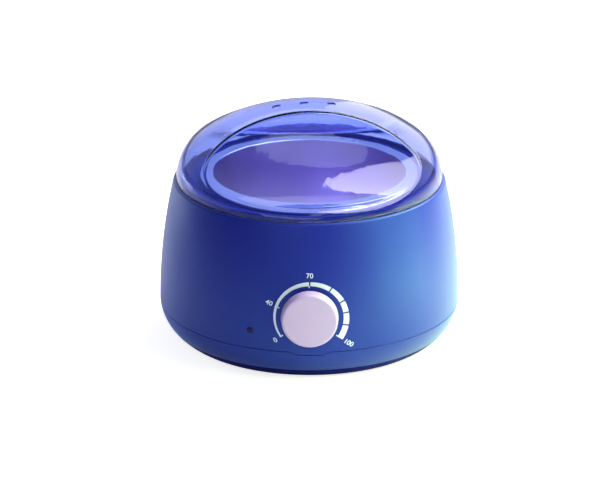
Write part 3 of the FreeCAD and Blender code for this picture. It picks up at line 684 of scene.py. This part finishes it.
@dataclass
class LidFace:
    """Rear half of one face of the lid: a dome of two tangent arcs, cut by a finger scoop along X.

    The sizes are those of the outer face, and the inset is how far this face lies inside it. The
    middle line runs along the grip ridge and has the vents' halves as notches. The counts are rows
    and steps of the grids, and the probe finds where the scoop leaves the dome.
    """

    inset: float = 0.0
    shoulder: float = 31.0
    ridge_half: float = 13.5
    scoop: float = 70.0
    scoop_floor: float = 6.4
    edge_round: float = 0.5
    low_round: float = 6.2
    inner_round: float = 2.0
    vent_pitch: float = 16.4
    vent_offset: float = -3.2
    vent_length: float = 5.4
    vent_width: float = 3.0
    vent_steps: int = 8
    rim_steps: int = 240
    side_steps: int = 60
    gap_steps: int = 12
    dome_rows: int = 18
    scoop_rows: int = 18
    edge_rows: int = 12
    probe_start: float = 2.0
    probe_steps: int = 20000
    loop_steps: int = 2000
    least_turn: float = 1e-7

    def __post_init__(self) -> None:
        """Reads the lid's box and works out the face's arcs, the scoop's axis and the profile's length."""
        self.deck = low("lid")[2]
        self.rim = high("lid")[0]
        height = high("lid")[2] - self.deck
        spread = self.rim ** 2 + height ** 2 - 2.0 * self.rim * self.shoulder
        outer_crown = spread / (2.0 * (height - self.shoulder))
        self.crown_height = self.deck + height - outer_crown
        self.neck = self.rim - self.shoulder
        self.meeting = math.atan2(self.neck, self.deck - self.crown_height)
        ridge_height = self.crown_height + math.sqrt(outer_crown ** 2 - self.ridge_half ** 2)
        self.axis_height = self.deck + self.scoop_floor + self.scoop
        fall = self.axis_height - ridge_height
        self.axis_back = self.ridge_half + math.sqrt(self.scoop ** 2 - fall ** 2)
        self.crown = outer_crown - self.inset
        self.bend = self.shoulder - self.inset
        self.hollow = self.scoop + self.inset
        self.top_length = self.crown * self.meeting
        self.reach = self.top_length + self.bend * (math.pi / 2.0 - self.meeting)

    def tilt(self, along: Array) -> Array:
        """Angle of the dome's normal from upright at a length along its profile."""
        beyond = self.meeting + (along - self.top_length) / self.bend
        return np.where(along < self.top_length, along / self.crown, beyond)

    def along(self, radius: Array) -> Array:
        """Length along the profile at a radius: the inverse of the two arcs.

        Args:
            radius: distances from the Z axis.

        Returns:
            The length at each radius.
        """
        near = np.arcsin(np.clip(radius / self.crown, 0.0, 1.0)) * self.crown
        angle = np.arcsin(np.clip((radius - self.neck) / self.bend, -1.0, 1.0))
        far = self.top_length + self.bend * (angle - self.meeting)
        return np.where(radius < self.crown * math.sin(self.meeting), near, far)

    def unrolled(self, plan: Array) -> Array:
        """Plan of points whose distance to the middle becomes the length along the profile."""
        radius = np.linalg.norm(plan, axis=-1)
        return plan * (self.along(radius) / radius)[:, None]

    def dome(self, flat: Array) -> Array:
        """Points of the dome from its unrolled plan.

        Args:
            flat: unrolled plan, whose distance to the middle is the length along the profile.

        Returns:
            The points in space.
        """
        length = np.linalg.norm(flat, axis=-1)
        tilt = self.tilt(length)
        on_crown = tilt < self.meeting
        radius = np.where(on_crown, self.crown * np.sin(tilt), self.neck + self.bend * np.sin(tilt))
        height = np.where(on_crown, self.crown_height + self.crown * np.cos(tilt),
                          self.deck + self.bend * np.cos(tilt))
        share = radius / np.maximum(length, 1e-9)
        return np.concatenate([flat * share[..., None], height[..., None]], axis=-1)

    def dome_radius(self, height: Array) -> Array:
        """Radius of the dome at a height, from the arc that the height lies on.

        Args:
            height: heights to look up.

        Returns:
            The radius at each height.
        """
        limit = self.crown_height + self.crown * math.cos(self.meeting)
        near = np.sqrt(np.maximum(self.crown ** 2 - (height - self.crown_height) ** 2, 0.0))
        far = self.neck + np.sqrt(np.maximum(self.bend ** 2 - (height - self.deck) ** 2, 0.0))
        return np.where(height > limit, near, far)

    def scoop_height(self, back: Array) -> Array:
        """Height of the scoop's floor, a cylinder along X, at a place back from the middle line."""
        return self.axis_height - np.sqrt(np.maximum(self.hollow ** 2 - (back - self.axis_back) ** 2, 0.0))

    def rounding(self, back: Array) -> Array:
        """Radius of the edge between dome and scoop: crisp along the ridge, softer away from it.

        Args:
            back: places back from the middle line.

        Returns:
            The radius at each place, as a column.
        """
        share = np.clip((back - self.ridge_half) / (self.rim - self.ridge_half), 0.0, 1.0)
        outer = self.edge_round + (self.low_round - self.edge_round) * np.sin(share * math.pi / 2.0)
        return np.maximum(outer - self.inset, self.inner_round)[:, None]

    def loop(self) -> Array:
        """Closed line where the scoop meets the dome.

        For each place back from the middle, the scoop's height gives the dome's radius, and
        what is left of that radius is the half width of the scoop there.

        Returns:
            Dense points in order round the scoop.
        """
        probe = np.linspace(self.probe_start, self.rim, self.probe_steps)
        slack = self.dome_radius(self.scoop_height(probe)) ** 2 - probe ** 2
        hit = probe[(slack > 0.0) & (probe > self.ridge_half / 2.0)]
        swing = np.cos(np.linspace(0.0, math.pi, self.loop_steps))
        back = (hit.min() + hit.max()) / 2.0 - (hit.max() - hit.min()) / 2.0 * swing
        height = self.scoop_height(back)
        half = np.sqrt(np.maximum(self.dome_radius(height) ** 2 - back ** 2, 0.0))
        right = np.stack([half, back, height], axis=-1)
        left = right[::-1] * np.array([-1.0, 1.0, 1.0])
        return np.concatenate([right, left[1:-1]])

    def border(self) -> Array:
        """Border of the unrolled dome: its rim, then the middle line with a notch for each vent.

        Returns:
            Points in order, as many on the rim as it has steps.
        """
        swing = np.linspace(0.0, math.pi, self.rim_steps)
        rim = self.reach * np.stack([np.cos(swing), np.sin(swing)], axis=-1)
        end_round = self.vent_width / 2.0
        straight = self.vent_length / 2.0 - end_round
        quarter = np.linspace(0.0, math.pi / 2.0, self.vent_steps)
        left = np.stack([-straight - end_round * np.cos(quarter), end_round * np.sin(quarter)], axis=-1)
        notch = np.concatenate([left, left[::-1] * np.array([-1.0, 1.0])])
        runs = [rim]
        edge = -self.reach
        for place, count in ((-1, self.side_steps), (0, self.gap_steps), (1, self.gap_steps)):
            middle = self.vent_offset + self.vent_pitch * place
            walk = np.linspace(edge, middle - self.vent_length / 2.0, count + 1)[1:-1]
            runs.append(np.stack([walk, 0.0 * walk], axis=-1))
            runs.append(notch + np.array([middle, 0.0]))
            edge = middle + self.vent_length / 2.0
        walk = np.linspace(edge, self.reach, self.side_steps + 1)[1:-1]
        runs.append(np.stack([walk, 0.0 * walk], axis=-1))
        return np.concatenate(runs)

    def strips(self) -> list[slice]:
        """Finds the runs of the border where a wall joins both faces.

        Returns:
            The rim's run, then that of each vent's notch.
        """
        notch = 2 * self.vent_steps
        first = self.rim_steps + self.side_steps - 1
        starts = [first + place * (notch + self.gap_steps - 1) for place in range(3)]
        return [slice(0, self.rim_steps)] + [slice(start, start + notch) for start in starts]

    def crease(self, border: Array) -> Array:
        """Pairs each border point with the point of the loop at its angle round the unrolled scoop.

        Args:
            border: the unrolled dome's border.

        Returns:
            Points of the loop, one for each border point.
        """
        loop = self.loop()
        flat = self.unrolled(loop[:, :2])
        centre = np.array([0.0, (flat[:, 1].min() + flat[:, 1].max()) / 2.0])
        loop_angle = np.arctan2(*(flat - centre).T[::-1])
        angle = np.unwrap(np.arctan2(*(border - centre).T[::-1]))
        angle = np.maximum.accumulate(angle + self.least_turn * np.arange(len(border)))
        found = [np.interp(angle, loop_angle, column, period=TURN) for column in loop.T]
        found[2] = self.scoop_height(found[1])
        return np.stack(found, axis=-1)

    def grids(self) -> tuple[Array, Array, Array]:
        """Dome, rounded edge and scoop as grids that share rows.

        A ball that rolls along the crease inside dome and scoop leaves the rounded edge. The dome's
        rows spread from there to the border, the scoop's rows shrink to its middle.

        Returns:
            The three grids. The dome's last row is the border.
        """
        border = self.border()
        crease = self.crease(border)
        radius = np.linalg.norm(crease[:, :2], axis=-1)
        tilt = self.tilt(self.along(radius))
        outward = crease[:, :2] / radius[:, None]
        dome_normal = np.concatenate([outward * np.sin(tilt)[:, None], np.cos(tilt)[:, None]], axis=-1)
        scoop_normal = np.stack([0.0 * radius, self.axis_back - crease[:, 1],
                                 self.axis_height - crease[:, 2]], axis=-1) / self.hollow
        middle = dome_normal + scoop_normal
        middle /= np.linalg.norm(middle, axis=-1, keepdims=True)
        half = np.arccos(np.clip(np.sum(middle * dome_normal, axis=-1), -1.0, 1.0))[:, None]
        rounding = self.rounding(crease[:, 1])
        ball = crease - middle * rounding / np.cos(half)
        edge = ball + rounding * swung(dome_normal, scoop_normal, 2.0 * half, self.edge_rows)
        start = self.unrolled(edge[0, :, :2])
        spread = np.linspace(0.0, 1.0, self.dome_rows)[:, None, None]
        dome = self.dome(start + spread * (border - start))
        edge[0] = dome[0]
        heart = np.array([0.0, (crease[:, 1].min() + crease[:, 1].max()) / 2.0])
        shrink = np.linspace(1.0, 0.0, self.scoop_rows)[:, None, None]
        floor = heart + shrink * (edge[-1, :, :2] - heart)
        scoop = np.concatenate([floor, self.scoop_height(floor[..., 1:])], axis=-1)
        edge[-1] = scoop[0]
        return dome, edge, scoop


@dataclass
class Lid:
    """See-through dome with two finger scoops that leave a grip ridge, and three steam vents."""

    wall: float = 2.2
    turn: float = 3.0

    def build(self) -> None:
        """Lays both faces of both halves, the rim and the vents' walls, all turned on the seat."""
        outer = LidFace()
        outside = outer.grids()
        inside = LidFace(inset=self.wall).grids()
        borders = np.stack([outside[0][-1], inside[0][-1]])
        turn = math.radians(self.turn)
        spin = np.array([[math.cos(turn), math.sin(turn), 0.0],
                         [-math.sin(turn), math.cos(turn), 0.0],
                         [0.0, 0.0, 1.0]])
        work = Patchwork()
        for side in (spin, np.diag([1.0, -1.0, 1.0]) @ spin):
            for grid in outside + inside:
                work.lay(grid @ side, closed_columns=True)
            for strip in outer.strips():
                work.lay(borders[:, strip] @ side)
        dress(work.sew("dome_lid"), LID_CLEAR, "lid", "lid")


@dataclass
class Pot:
    """Lift-out pot and the fixed heated cup that takes it.

    The flange's round is a share of its half thickness. The other sizes are lengths.
    """

    mouth: float = 57.5
    taper: float = 5.0
    wall: float = 1.2
    flange: float = 1.4
    flange_round: float = 0.98
    rim_depth: float = 0.2
    corner: float = 8.0
    cup_gap: float = 1.6
    cup_wall: float = 1.5
    cup_flange: float = 71.3
    cup_edge: float = 0.5

    def __post_init__(self) -> None:
        """Works out the radius at which the pot's wall would meet its floor."""
        self.base = self.mouth - self.taper

    def pot(self) -> None:
        """Turns the pot from its section: the flange is round and buffed, the rest keeps its rings."""
        top = high("wax_pot")[2]
        under = low("wax_pot")[2]
        rim = high("wax_pot")[0]
        floor = under + self.wall
        half = self.flange / 2.0
        tip = self.flange_round * half
        section = rounded([
            (0.0, floor, 0.0), (self.base, floor, self.corner), (self.mouth, top, tip),
            (rim, top, tip), (rim, top - self.flange, tip),
            (self.mouth + self.wall, top - self.flange, half),
            (self.base + self.wall, under, self.corner + self.wall), (0.0, under, 0.0)], steps=10)
        piece = dress(woven("lift_out_pot", turned(section)), POT_METAL, "pot", "wax_pot")
        piece.data.materials.append(MATERIALS[RIM_METAL.title])
        centres = np.empty(len(piece.data.polygons) * 3, dtype=np.float32)
        piece.data.polygons.foreach_get("center", centres)
        on_rim = centres.reshape(-1, 3)[:, 2] > (top - self.flange - self.rim_depth) * MM
        piece.data.polygons.foreach_set("material_index", on_rim.astype(np.int32))

    def cup(self) -> None:
        """Turns the heated cup from its section, which follows the pot's at a gap."""
        top = high("heating_well")[2]
        under = low("heating_well")[2]
        floor = under + self.cup_wall
        mouth = self.mouth + self.wall + self.cup_gap
        base = self.base + self.wall + self.cup_gap
        corner = self.corner + self.cup_gap
        section = rounded([
            (0.0, floor, 0.0), (base, floor, corner), (mouth, top, self.cup_edge),
            (self.cup_flange, top, 0.0), (self.cup_flange, top - self.cup_wall, 0.0),
            (mouth + self.cup_wall, top - self.cup_wall, self.cup_wall),
            (base + self.cup_wall, under, corner + self.cup_wall), (0.0, under, 0.0)], steps=8)
        dress(woven("heated_cup", turned(section)), WELL_METAL, "housing", "heating_well")

    def build(self) -> None:
        """Makes the pot and the cup."""
        self.pot()
        self.cup()


@dataclass
class Knob:
    """Plain round knob with a soft edge."""

    taper: float = 0.5
    edge_round: float = 1.7
    back_round: float = 0.25
    crown: float = 0.25

    def build(self) -> None:
        """Turns the knob and lays its axis along -Y: the profile's height becomes the distance forwards."""
        near = low("control_knob")
        far = high("control_knob")
        radius = (far[0] - near[0]) / 2.0
        centre = (far[2] + near[2]) / 2.0
        back = -far[1]
        face = -near[1]
        profile = rounded([
            (0.0, back, 0.0), (radius, back, self.back_round),
            (radius - self.taper, face - self.crown, self.edge_round), (0.0, face, 0.0)], steps=12)
        grid = turned(profile, steps=160)
        standing = np.stack([grid[..., 0], -grid[..., 2], centre + grid[..., 1]], axis=-1)
        dress(woven("heat_knob", standing), KNOB_PLASTIC, "knob", "control_knob")


@dataclass
class Dial:
    """Printed scale round the knob: a line that grows into a band of blocks, and plain numbers.

    Angles are in degrees about the knob's axis, from the right. A number has its text, its angle, its
    distance from the axis and its lean.
    """

    shell: Shell
    inner: float = 19.7
    drop: float = 1.3
    thin: float = 1.0
    thick: float = 3.6
    start: float = 215.0
    middle: float = 90.0
    end: float = -35.0
    gap: float = 2.4
    lift: float = 0.05
    film_rows: int = 4
    step: float = 1.5
    least_steps: int = 6
    breaks: tuple[float, ...] = (55.0, 27.5, 8.0, -12.0)
    tick: float = 1.1
    tick_width: float = 0.7
    tick_overlap: float = 0.05
    tick_steps: int = 4
    digit_height: float = 2.9
    digit_stroke: float = 0.05
    font_factor: float = 1.42
    numbers: tuple[tuple[str, float, float, float], ...] = (
        ("0", 215.0, 24.2, 35.0), ("40", 160.0, 25.0, -20.0), ("70", 90.0, 25.6, 0.0),
        ("100", -35.0, 27.6, -35.0))

    def __post_init__(self) -> None:
        """Reads the knob's height from the frame: the print sits a little below its axis."""
        self.height = (low("control_knob")[2] + high("control_knob")[2]) / 2.0 - self.drop

    def width(self, angle: Array) -> Array:
        """Width of the band: it grows evenly from the low end to the high end."""
        return self.thin + (self.thick - self.thin) * (self.start - angle) / (self.start - self.end)

    def film(self, work: Patchwork, angle: Array, inside: Array, outside: Array) -> None:
        """Lays a closed thin slab on the wall, between two radii about the knob's axis.

        Args:
            work: the mesh that gets the slab.
            angle: run of angles.
            inside: inner radius at each angle.
            outside: outer radius at each angle.
        """
        turn = np.radians(angle)[None]
        share = np.linspace(0.0, 1.0, self.film_rows)[:, None]
        radius = inside[None] + share * (outside - inside)[None]
        across = radius * np.cos(turn)
        height = self.height + radius * np.sin(turn)
        slab = np.stack([self.shell.on_wall(across, height, lift) for lift in (self.lift, -self.lift)])
        work.lay(slab[0])
        work.lay(slab[1, ::-1])
        for rim in (slab[:, 0], slab[:, -1], slab[:, :, 0], slab[:, :, -1]):
            work.lay(rim)

    def scale(self) -> None:
        """The growing line, its blocks and a small tick inwards at each number's angle."""
        work = Patchwork()
        edges = (self.start, self.middle) + self.breaks + (self.end,)
        for index, (first, last) in enumerate(zip(edges, edges[1:])):
            trim_first = 0.0 if index == 0 else self.gap / 2.0
            trim_last = 0.0 if index == len(edges) - 2 else self.gap / 2.0
            count = max(int(abs(last - first) / self.step), self.least_steps)
            angle = np.linspace(first - trim_first, last + trim_last, count)
            inside = np.full(count, self.inner)
            self.film(work, angle, inside, inside + self.width(angle))
        half = math.degrees(self.tick_width / 2.0 / self.inner)
        inside = np.full(self.tick_steps, self.inner)
        for _, place, _, _ in self.numbers:
            shift = -half if place == self.start else half
            angle = np.linspace(place + shift + half, place + shift - half, self.tick_steps)
            self.film(work, angle, inside - self.tick, inside + self.tick_overlap)
        dress(work.sew("dial_scale"), DIAL_INK, "housing")

    def number(self, text: str, angle: float, distance: float, lean: float) -> None:
        """Lays one number on the wall.

        Args:
            text: plain digits.
            angle: place round the knob in degrees.
            distance: distance of its middle from the knob's axis.
            lean: turn of the digits in degrees.
        """
        curve = bpy.data.curves.new("digits", "FONT")
        curve.body = text
        curve.align_x = "CENTER"
        curve.align_y = "CENTER"
        curve.size = self.digit_height * self.font_factor
        curve.extrude = self.lift
        curve.offset = self.digit_stroke
        holder = link("digits", curve)
        bpy.context.view_layer.update()
        mesh = bpy.data.meshes.new_from_object(holder.evaluated_get(bpy.context.evaluated_depsgraph_get()))
        bpy.data.objects.remove(holder)
        bpy.data.curves.remove(curve)
        flat = np.empty(len(mesh.vertices) * 3, dtype=np.float32)
        mesh.vertices.foreach_get("co", flat)
        flat = flat.reshape(-1, 3).astype(float)
        place = math.radians(angle)
        turn = math.radians(lean)
        across = distance * math.cos(place) + flat[:, 0] * math.cos(turn) - flat[:, 1] * math.sin(turn)
        rise = distance * math.sin(place) + flat[:, 0] * math.sin(turn) + flat[:, 1] * math.cos(turn)
        wall = self.shell.on_wall(across, self.height + rise, 0.0)
        outward = wall * np.array([1.0, 1.0, 0.0]) / np.linalg.norm(wall[:, :2], axis=-1)[:, None]
        placed = (wall + outward * flat[:, 2:]) * MM
        mesh.vertices.foreach_set("co", placed.astype(np.float32).ravel())
        mesh.update()
        dress(link("dial_number_" + text, tidy(mesh)), DIAL_INK, "housing")

    def build(self) -> None:
        """Prints the scale and its numbers."""
        self.scale()
        for entry in self.numbers:
            self.number(*entry)


@dataclass
class Indicator:
    """Small dark lens left of the knob."""

    shell: Shell
    radius: float = 2.1
    depth: float = 2.6
    crown: float = 0.35
    angle: float = -22.7
    face_rows: int = 8

    def build(self) -> None:
        """Turns a button with a crowned face and lays its axis along the wall's radius."""
        height = (low("indicator_lens")[2] + high("indicator_lens")[2]) / 2.0
        wall = float(self.shell.radius(height))
        back = wall - self.depth
        rest = 1.0 - np.linspace(0.0, 1.0, self.face_rows)
        face = np.stack([self.radius * rest, wall + self.crown * (1.0 - rest ** 2)], axis=-1)
        grid = turned(np.concatenate([[[0.0, back], [self.radius, back]], face]), steps=48)
        swing = math.radians(self.angle)
        forward = np.array([math.sin(swing), -math.cos(swing), 0.0])
        sideways = np.array([math.cos(swing), math.sin(swing), 0.0])
        upward = np.array([0.0, 0.0, 1.0])
        placed = grid[..., :1] * sideways + (height + grid[..., 1:2]) * upward + grid[..., 2:] * forward
        dress(woven("indicator_window", placed), LENS, "housing", "indicator_lens")


class Works:
    """Pieces inside and below the housing that keep their CAD shapes."""

    def build(self) -> None:
        """Gives every CAD node that still shows the finish of its material slot."""
        by_slot = {finish.slot: finish for finish in FINISHES}
        for entry in frame["record"]["subparts"]:
            piece = frame["nodes"][entry["node"]]
            if piece.hide_render:
                continue
            piece.data.materials.clear()
            piece.data.materials.append(MATERIALS[by_slot[entry["material_slot"]].title])
            log.info("%s keeps its shape", entry["node"])


# Pieces for the lights that reach only some: the shells, and what else shows at the front, with the table
SHELLS = ("upper_shell", "lower_shell")
FRONT = ("bottom_plate", "heat_knob", "indicator_window", "dial_scale", "dial_number_0", "dial_number_40",
         "dial_number_70", "dial_number_100", "table_top")


class Outline(Enum):
    """Shape of a studio light."""

    OBLONG = "RECTANGLE"
    ROUND = "ELLIPSE"


class Reach(Enum):
    """Whether a studio light shows to diffuse, glossy and transmission rays."""

    BOTH = (True, True, True)
    LIGHT = (True, False, False)
    CARD = (False, True, False)


@dataclass(frozen=True)
class SoftBox:
    """One soft studio light.

    Args:
        name: the light's name.
        place: its centre in metres.
        aim: the point that it faces.
        size: its width and height in metres.
        power: its power in watts.
        colour: sRGB hex of its light.
        shape: its outline.
        reach: the kinds of ray that it shows to.
        only: names of the pieces that it reaches, or nothing for all.
    """

    name: str
    place: tuple[float, float, float]
    aim: tuple[float, float, float]
    size: tuple[float, float]
    power: float
    colour: str = "#ffffff"
    shape: Outline = Outline.OBLONG
    reach: Reach = Reach.BOTH
    only: tuple[str, ...] = ()

    def build(self) -> None:
        """Adds the light and turns it to its aim."""
        lamp = bpy.data.lights.new(self.name, "AREA")
        lamp.shape = self.shape.value
        lamp.size, lamp.size_y = self.size
        lamp.energy = self.power
        lamp.color = linear(self.colour)[:3]
        holder = link(self.name, lamp)
        holder.location = self.place
        holder.rotation_euler = (Vector(self.aim) - Vector(self.place)).to_track_quat("-Z", "Y").to_euler()
        holder.visible_diffuse, holder.visible_glossy, holder.visible_transmission = self.reach.value
        if self.only:
            group = bpy.data.collections.new(self.name + "_pieces")
            for name in self.only:
                group.objects.link(bpy.data.objects[name])
            holder.light_linking.receiver_collection = group


@dataclass
class Studio:
    """Pale floor, soft light and the camera.

    Args:
        target: point that the camera faces, in millimetres.
        distance: distance of the camera from it, in millimetres.
        elevation: height of the camera in degrees.
        lens: focal length in millimetres.
        sensor: width of the sensor in millimetres.
        view_depth: distance in metres beyond which the camera sees nothing.
        floor_half: half side of the floor in metres.
        ambient: strength of the even light on all surfaces.
        glow: strength of the floor's own white near the object, for the camera.
        near_floor: distance from the object in metres up to which it has that strength.
        far_floor: distance in metres from which its strength is 1.
        glass_floor: share of that white in reflections and behind glass.
        glass_sky: strength of the backdrop behind glass.
        backdrop: directions along Y between which the backdrop in reflections rises from none to full.
        left_end: directions along X between which it rises from its dim left end to full.
        left_sky: strength of that left end.
        bounces: most bounces of a ray, enough for the lid's many layers.
        boxes: the lights.
    """

    target: tuple[float, float, float] = (-5.59, 0.0, 50.16)
    distance: float = 2000.0
    elevation: float = 21.0
    lens: float = 199.3
    sensor: float = 36.0
    view_depth: float = 20.0
    floor_half: float = 6.0
    ambient: float = 0.1
    glow: float = 0.75
    near_floor: float = 0.4
    far_floor: float = 1.2
    glass_floor: float = 0.1
    glass_sky: float = 0.88
    backdrop: tuple[float, float] = (-0.1, 0.5)
    left_end: tuple[float, float] = (-0.85, -0.25)
    left_sky: float = 0.15
    bounces: int = 96
    boxes: tuple[SoftBox, ...] = (
        SoftBox("front_fill", (-0.4, -1.5, 0.8), (0.0, 0.0, 0.06), (1.4, 1.0), 6.55, "#f0f0ff"),
        SoftBox("front_right", (0.8, -1.0, 0.25), (0.0, 0.0, 0.05), (0.5, 0.4), 0.9, "#e4ffc0"),
        SoftBox("floor_right", (0.28, -0.13, 0.22), (0.28, -0.13, 0.0), (0.24, 0.4), 4.1, "#d8ff9c",
                only=SHELLS + FRONT),
        SoftBox("right_card", (0.2, -0.115, 0.06), (0.0, -0.115, 0.06), (0.17, 0.12), 0.24, "#b4ffa8",
                reach=Reach.CARD, only=SHELLS),
        SoftBox("top_right", (0.428, 0.16, 0.6), (0.428, 0.16, 0.0), (0.8, 0.85), 12.0, "#fff2f0",
                Outline.ROUND),
        SoftBox("front_card", (0.045, -0.235, 0.7), (0.045, -0.235, 0.0), (0.085, 0.43), 0.2, "#e8f0ff",
                Outline.ROUND, Reach.CARD),
        SoftBox("back_card", (0.54, 1.1, 0.48), (0.0, 0.0, 0.1), (0.9, 0.6), 2.2, "#fff6fc",
                reach=Reach.CARD),
        SoftBox("back_top", (0.0, 0.9, 0.9), (0.0, 0.0, 0.1), (1.2, 0.5), 1.9),
        SoftBox("left_rim", (-0.7, 0.5, 0.12), (0.0, 0.0, 0.05), (0.3, 0.24), 4.0, reach=Reach.LIGHT))

    def camera(self) -> None:
        """Long lens at the photograph's height, aimed at the middle of its frame."""
        lens = bpy.data.cameras.new("camera")
        lens.lens = self.lens
        lens.sensor_width = self.sensor
        lens.sensor_fit = "HORIZONTAL"
        lens.clip_end = self.view_depth
        holder = link("camera", lens)
        pitch = math.radians(self.elevation)
        back = Vector((0.0, -math.cos(pitch), math.sin(pitch))) * self.distance
        holder.location = (Vector(self.target) + back) * MM
        holder.rotation_euler = (-back).to_track_quat("-Z", "Y").to_euler()
        bpy.context.scene.camera = holder

    def floor(self) -> None:
        """White table top that keeps the object's shadow and shows white to the camera."""
        half = self.floor_half / MM
        across, back = np.meshgrid([-half, half], [-half, half])
        piece = woven("table_top", np.stack([across, back, 0.0 * across], axis=-1), closed_columns=False)
        material = bpy.data.materials.new("matt_white_table")
        material.use_nodes = True
        tree = material.node_tree
        shader = tree.nodes["Principled BSDF"]
        shader.inputs["Base Color"].default_value = linear("#e4e4e8")
        shader.inputs["Roughness"].default_value = 0.9
        path = add(tree, "ShaderNodeLightPath")
        shown = add(tree, "ShaderNodeMath", {
            0: path.outputs["Is Glossy Ray"], 1: path.outputs["Is Transmission Ray"]}, operation="MAXIMUM")
        glass = add(tree, "ShaderNodeMath", {0: shown.outputs[0], 1: self.glass_floor}, operation="MULTIPLY")
        seen = add(tree, "ShaderNodeMath", {
            0: path.outputs["Is Camera Ray"], 1: glass.outputs[0]}, operation="MAXIMUM")
        far = add(tree, "ShaderNodeVectorMath", {
            0: add(tree, "ShaderNodeTexCoord").outputs["Object"]}, operation="LENGTH")
        level = add(tree, "ShaderNodeMapRange", {
            0: far.outputs["Value"], 1: self.near_floor, 2: self.far_floor, 3: self.glow, 4: 1.0})
        glow = add(tree, "ShaderNodeEmission", {"Color": (1.0, 1.0, 1.0, 1.0), "Strength": level.outputs[0]})
        lit = add(tree, "ShaderNodeAddShader", {0: shader.outputs[0], 1: glow.outputs[0]})
        mix = add(tree, "ShaderNodeMixShader", {0: seen.outputs[0], 1: shader.outputs[0], 2: lit.outputs[0]})
        tree.links.new(mix.outputs[0], tree.nodes["Material Output"].inputs[0])
        piece.data.materials.append(material)

    def world(self) -> None:
        """White backdrop for the camera, behind glass and in reflections, a dim even light for the rest."""
        world = bpy.data.worlds.new("studio")
        bpy.context.scene.world = world
        world.use_nodes = True
        tree = world.node_tree
        path = add(tree, "ShaderNodeLightPath")
        glass = add(tree, "ShaderNodeMath", {
            0: path.outputs["Is Transmission Ray"], 1: self.glass_sky}, operation="MULTIPLY")
        clear = add(tree, "ShaderNodeMath", {
            0: path.outputs["Is Camera Ray"], 1: glass.outputs[0]}, operation="MAXIMUM")
        spot = add(tree, "ShaderNodeTexCoord").outputs["Generated"]
        direction = add(tree, "ShaderNodeSeparateXYZ", {0: spot})
        backdrop = add(tree, "ShaderNodeMapRange", {
            0: direction.outputs[1], 1: self.backdrop[0], 2: self.backdrop[1]})
        side = add(tree, "ShaderNodeMapRange", {
            0: direction.outputs[0], 1: self.left_end[0], 2: self.left_end[1], 3: self.left_sky, 4: 1.0})
        sky = add(tree, "ShaderNodeMath", {0: backdrop.outputs[0], 1: side.outputs[0]}, operation="MULTIPLY")
        mirrored = add(tree, "ShaderNodeMath", {
            0: path.outputs["Is Glossy Ray"], 1: sky.outputs[0]}, operation="MULTIPLY")
        seen = add(tree, "ShaderNodeMath", {0: clear.outputs[0], 1: mirrored.outputs[0]}, operation="MAXIMUM")
        strength = add(tree, "ShaderNodeMapRange", {0: seen.outputs[0], 3: self.ambient, 4: 1.0})
        tree.links.new(strength.outputs[0], tree.nodes["Background"].inputs["Strength"])
        tree.nodes["Background"].inputs["Color"].default_value = (1.0, 1.0, 1.0, 1.0)

    def build(self) -> None:
        """Sets the stage."""
        scene = bpy.context.scene
        scene.view_settings.view_transform = "Standard"
        scene.cycles.max_bounces = self.bounces
        scene.cycles.transmission_bounces = self.bounces
        self.camera()
        self.floor()
        self.world()
        for box in self.boxes:
            box.build()


MATERIALS = {finish.title: finish.build() for finish in FINISHES + (DIAL_INK, RIM_METAL)}


def main() -> None:
    """Builds the sub-assemblies in order."""
    logging.basicConfig(level=logging.INFO, format="%(name)s: %(message)s")
    shell = Shell()
    shell.build()
    Lid().build()
    Pot().build()
    Knob().build()
    Dial(shell).build()
    Indicator(shell).build()
    Works().build()
    Studio().build()


if __name__ == "__main__":
    main()
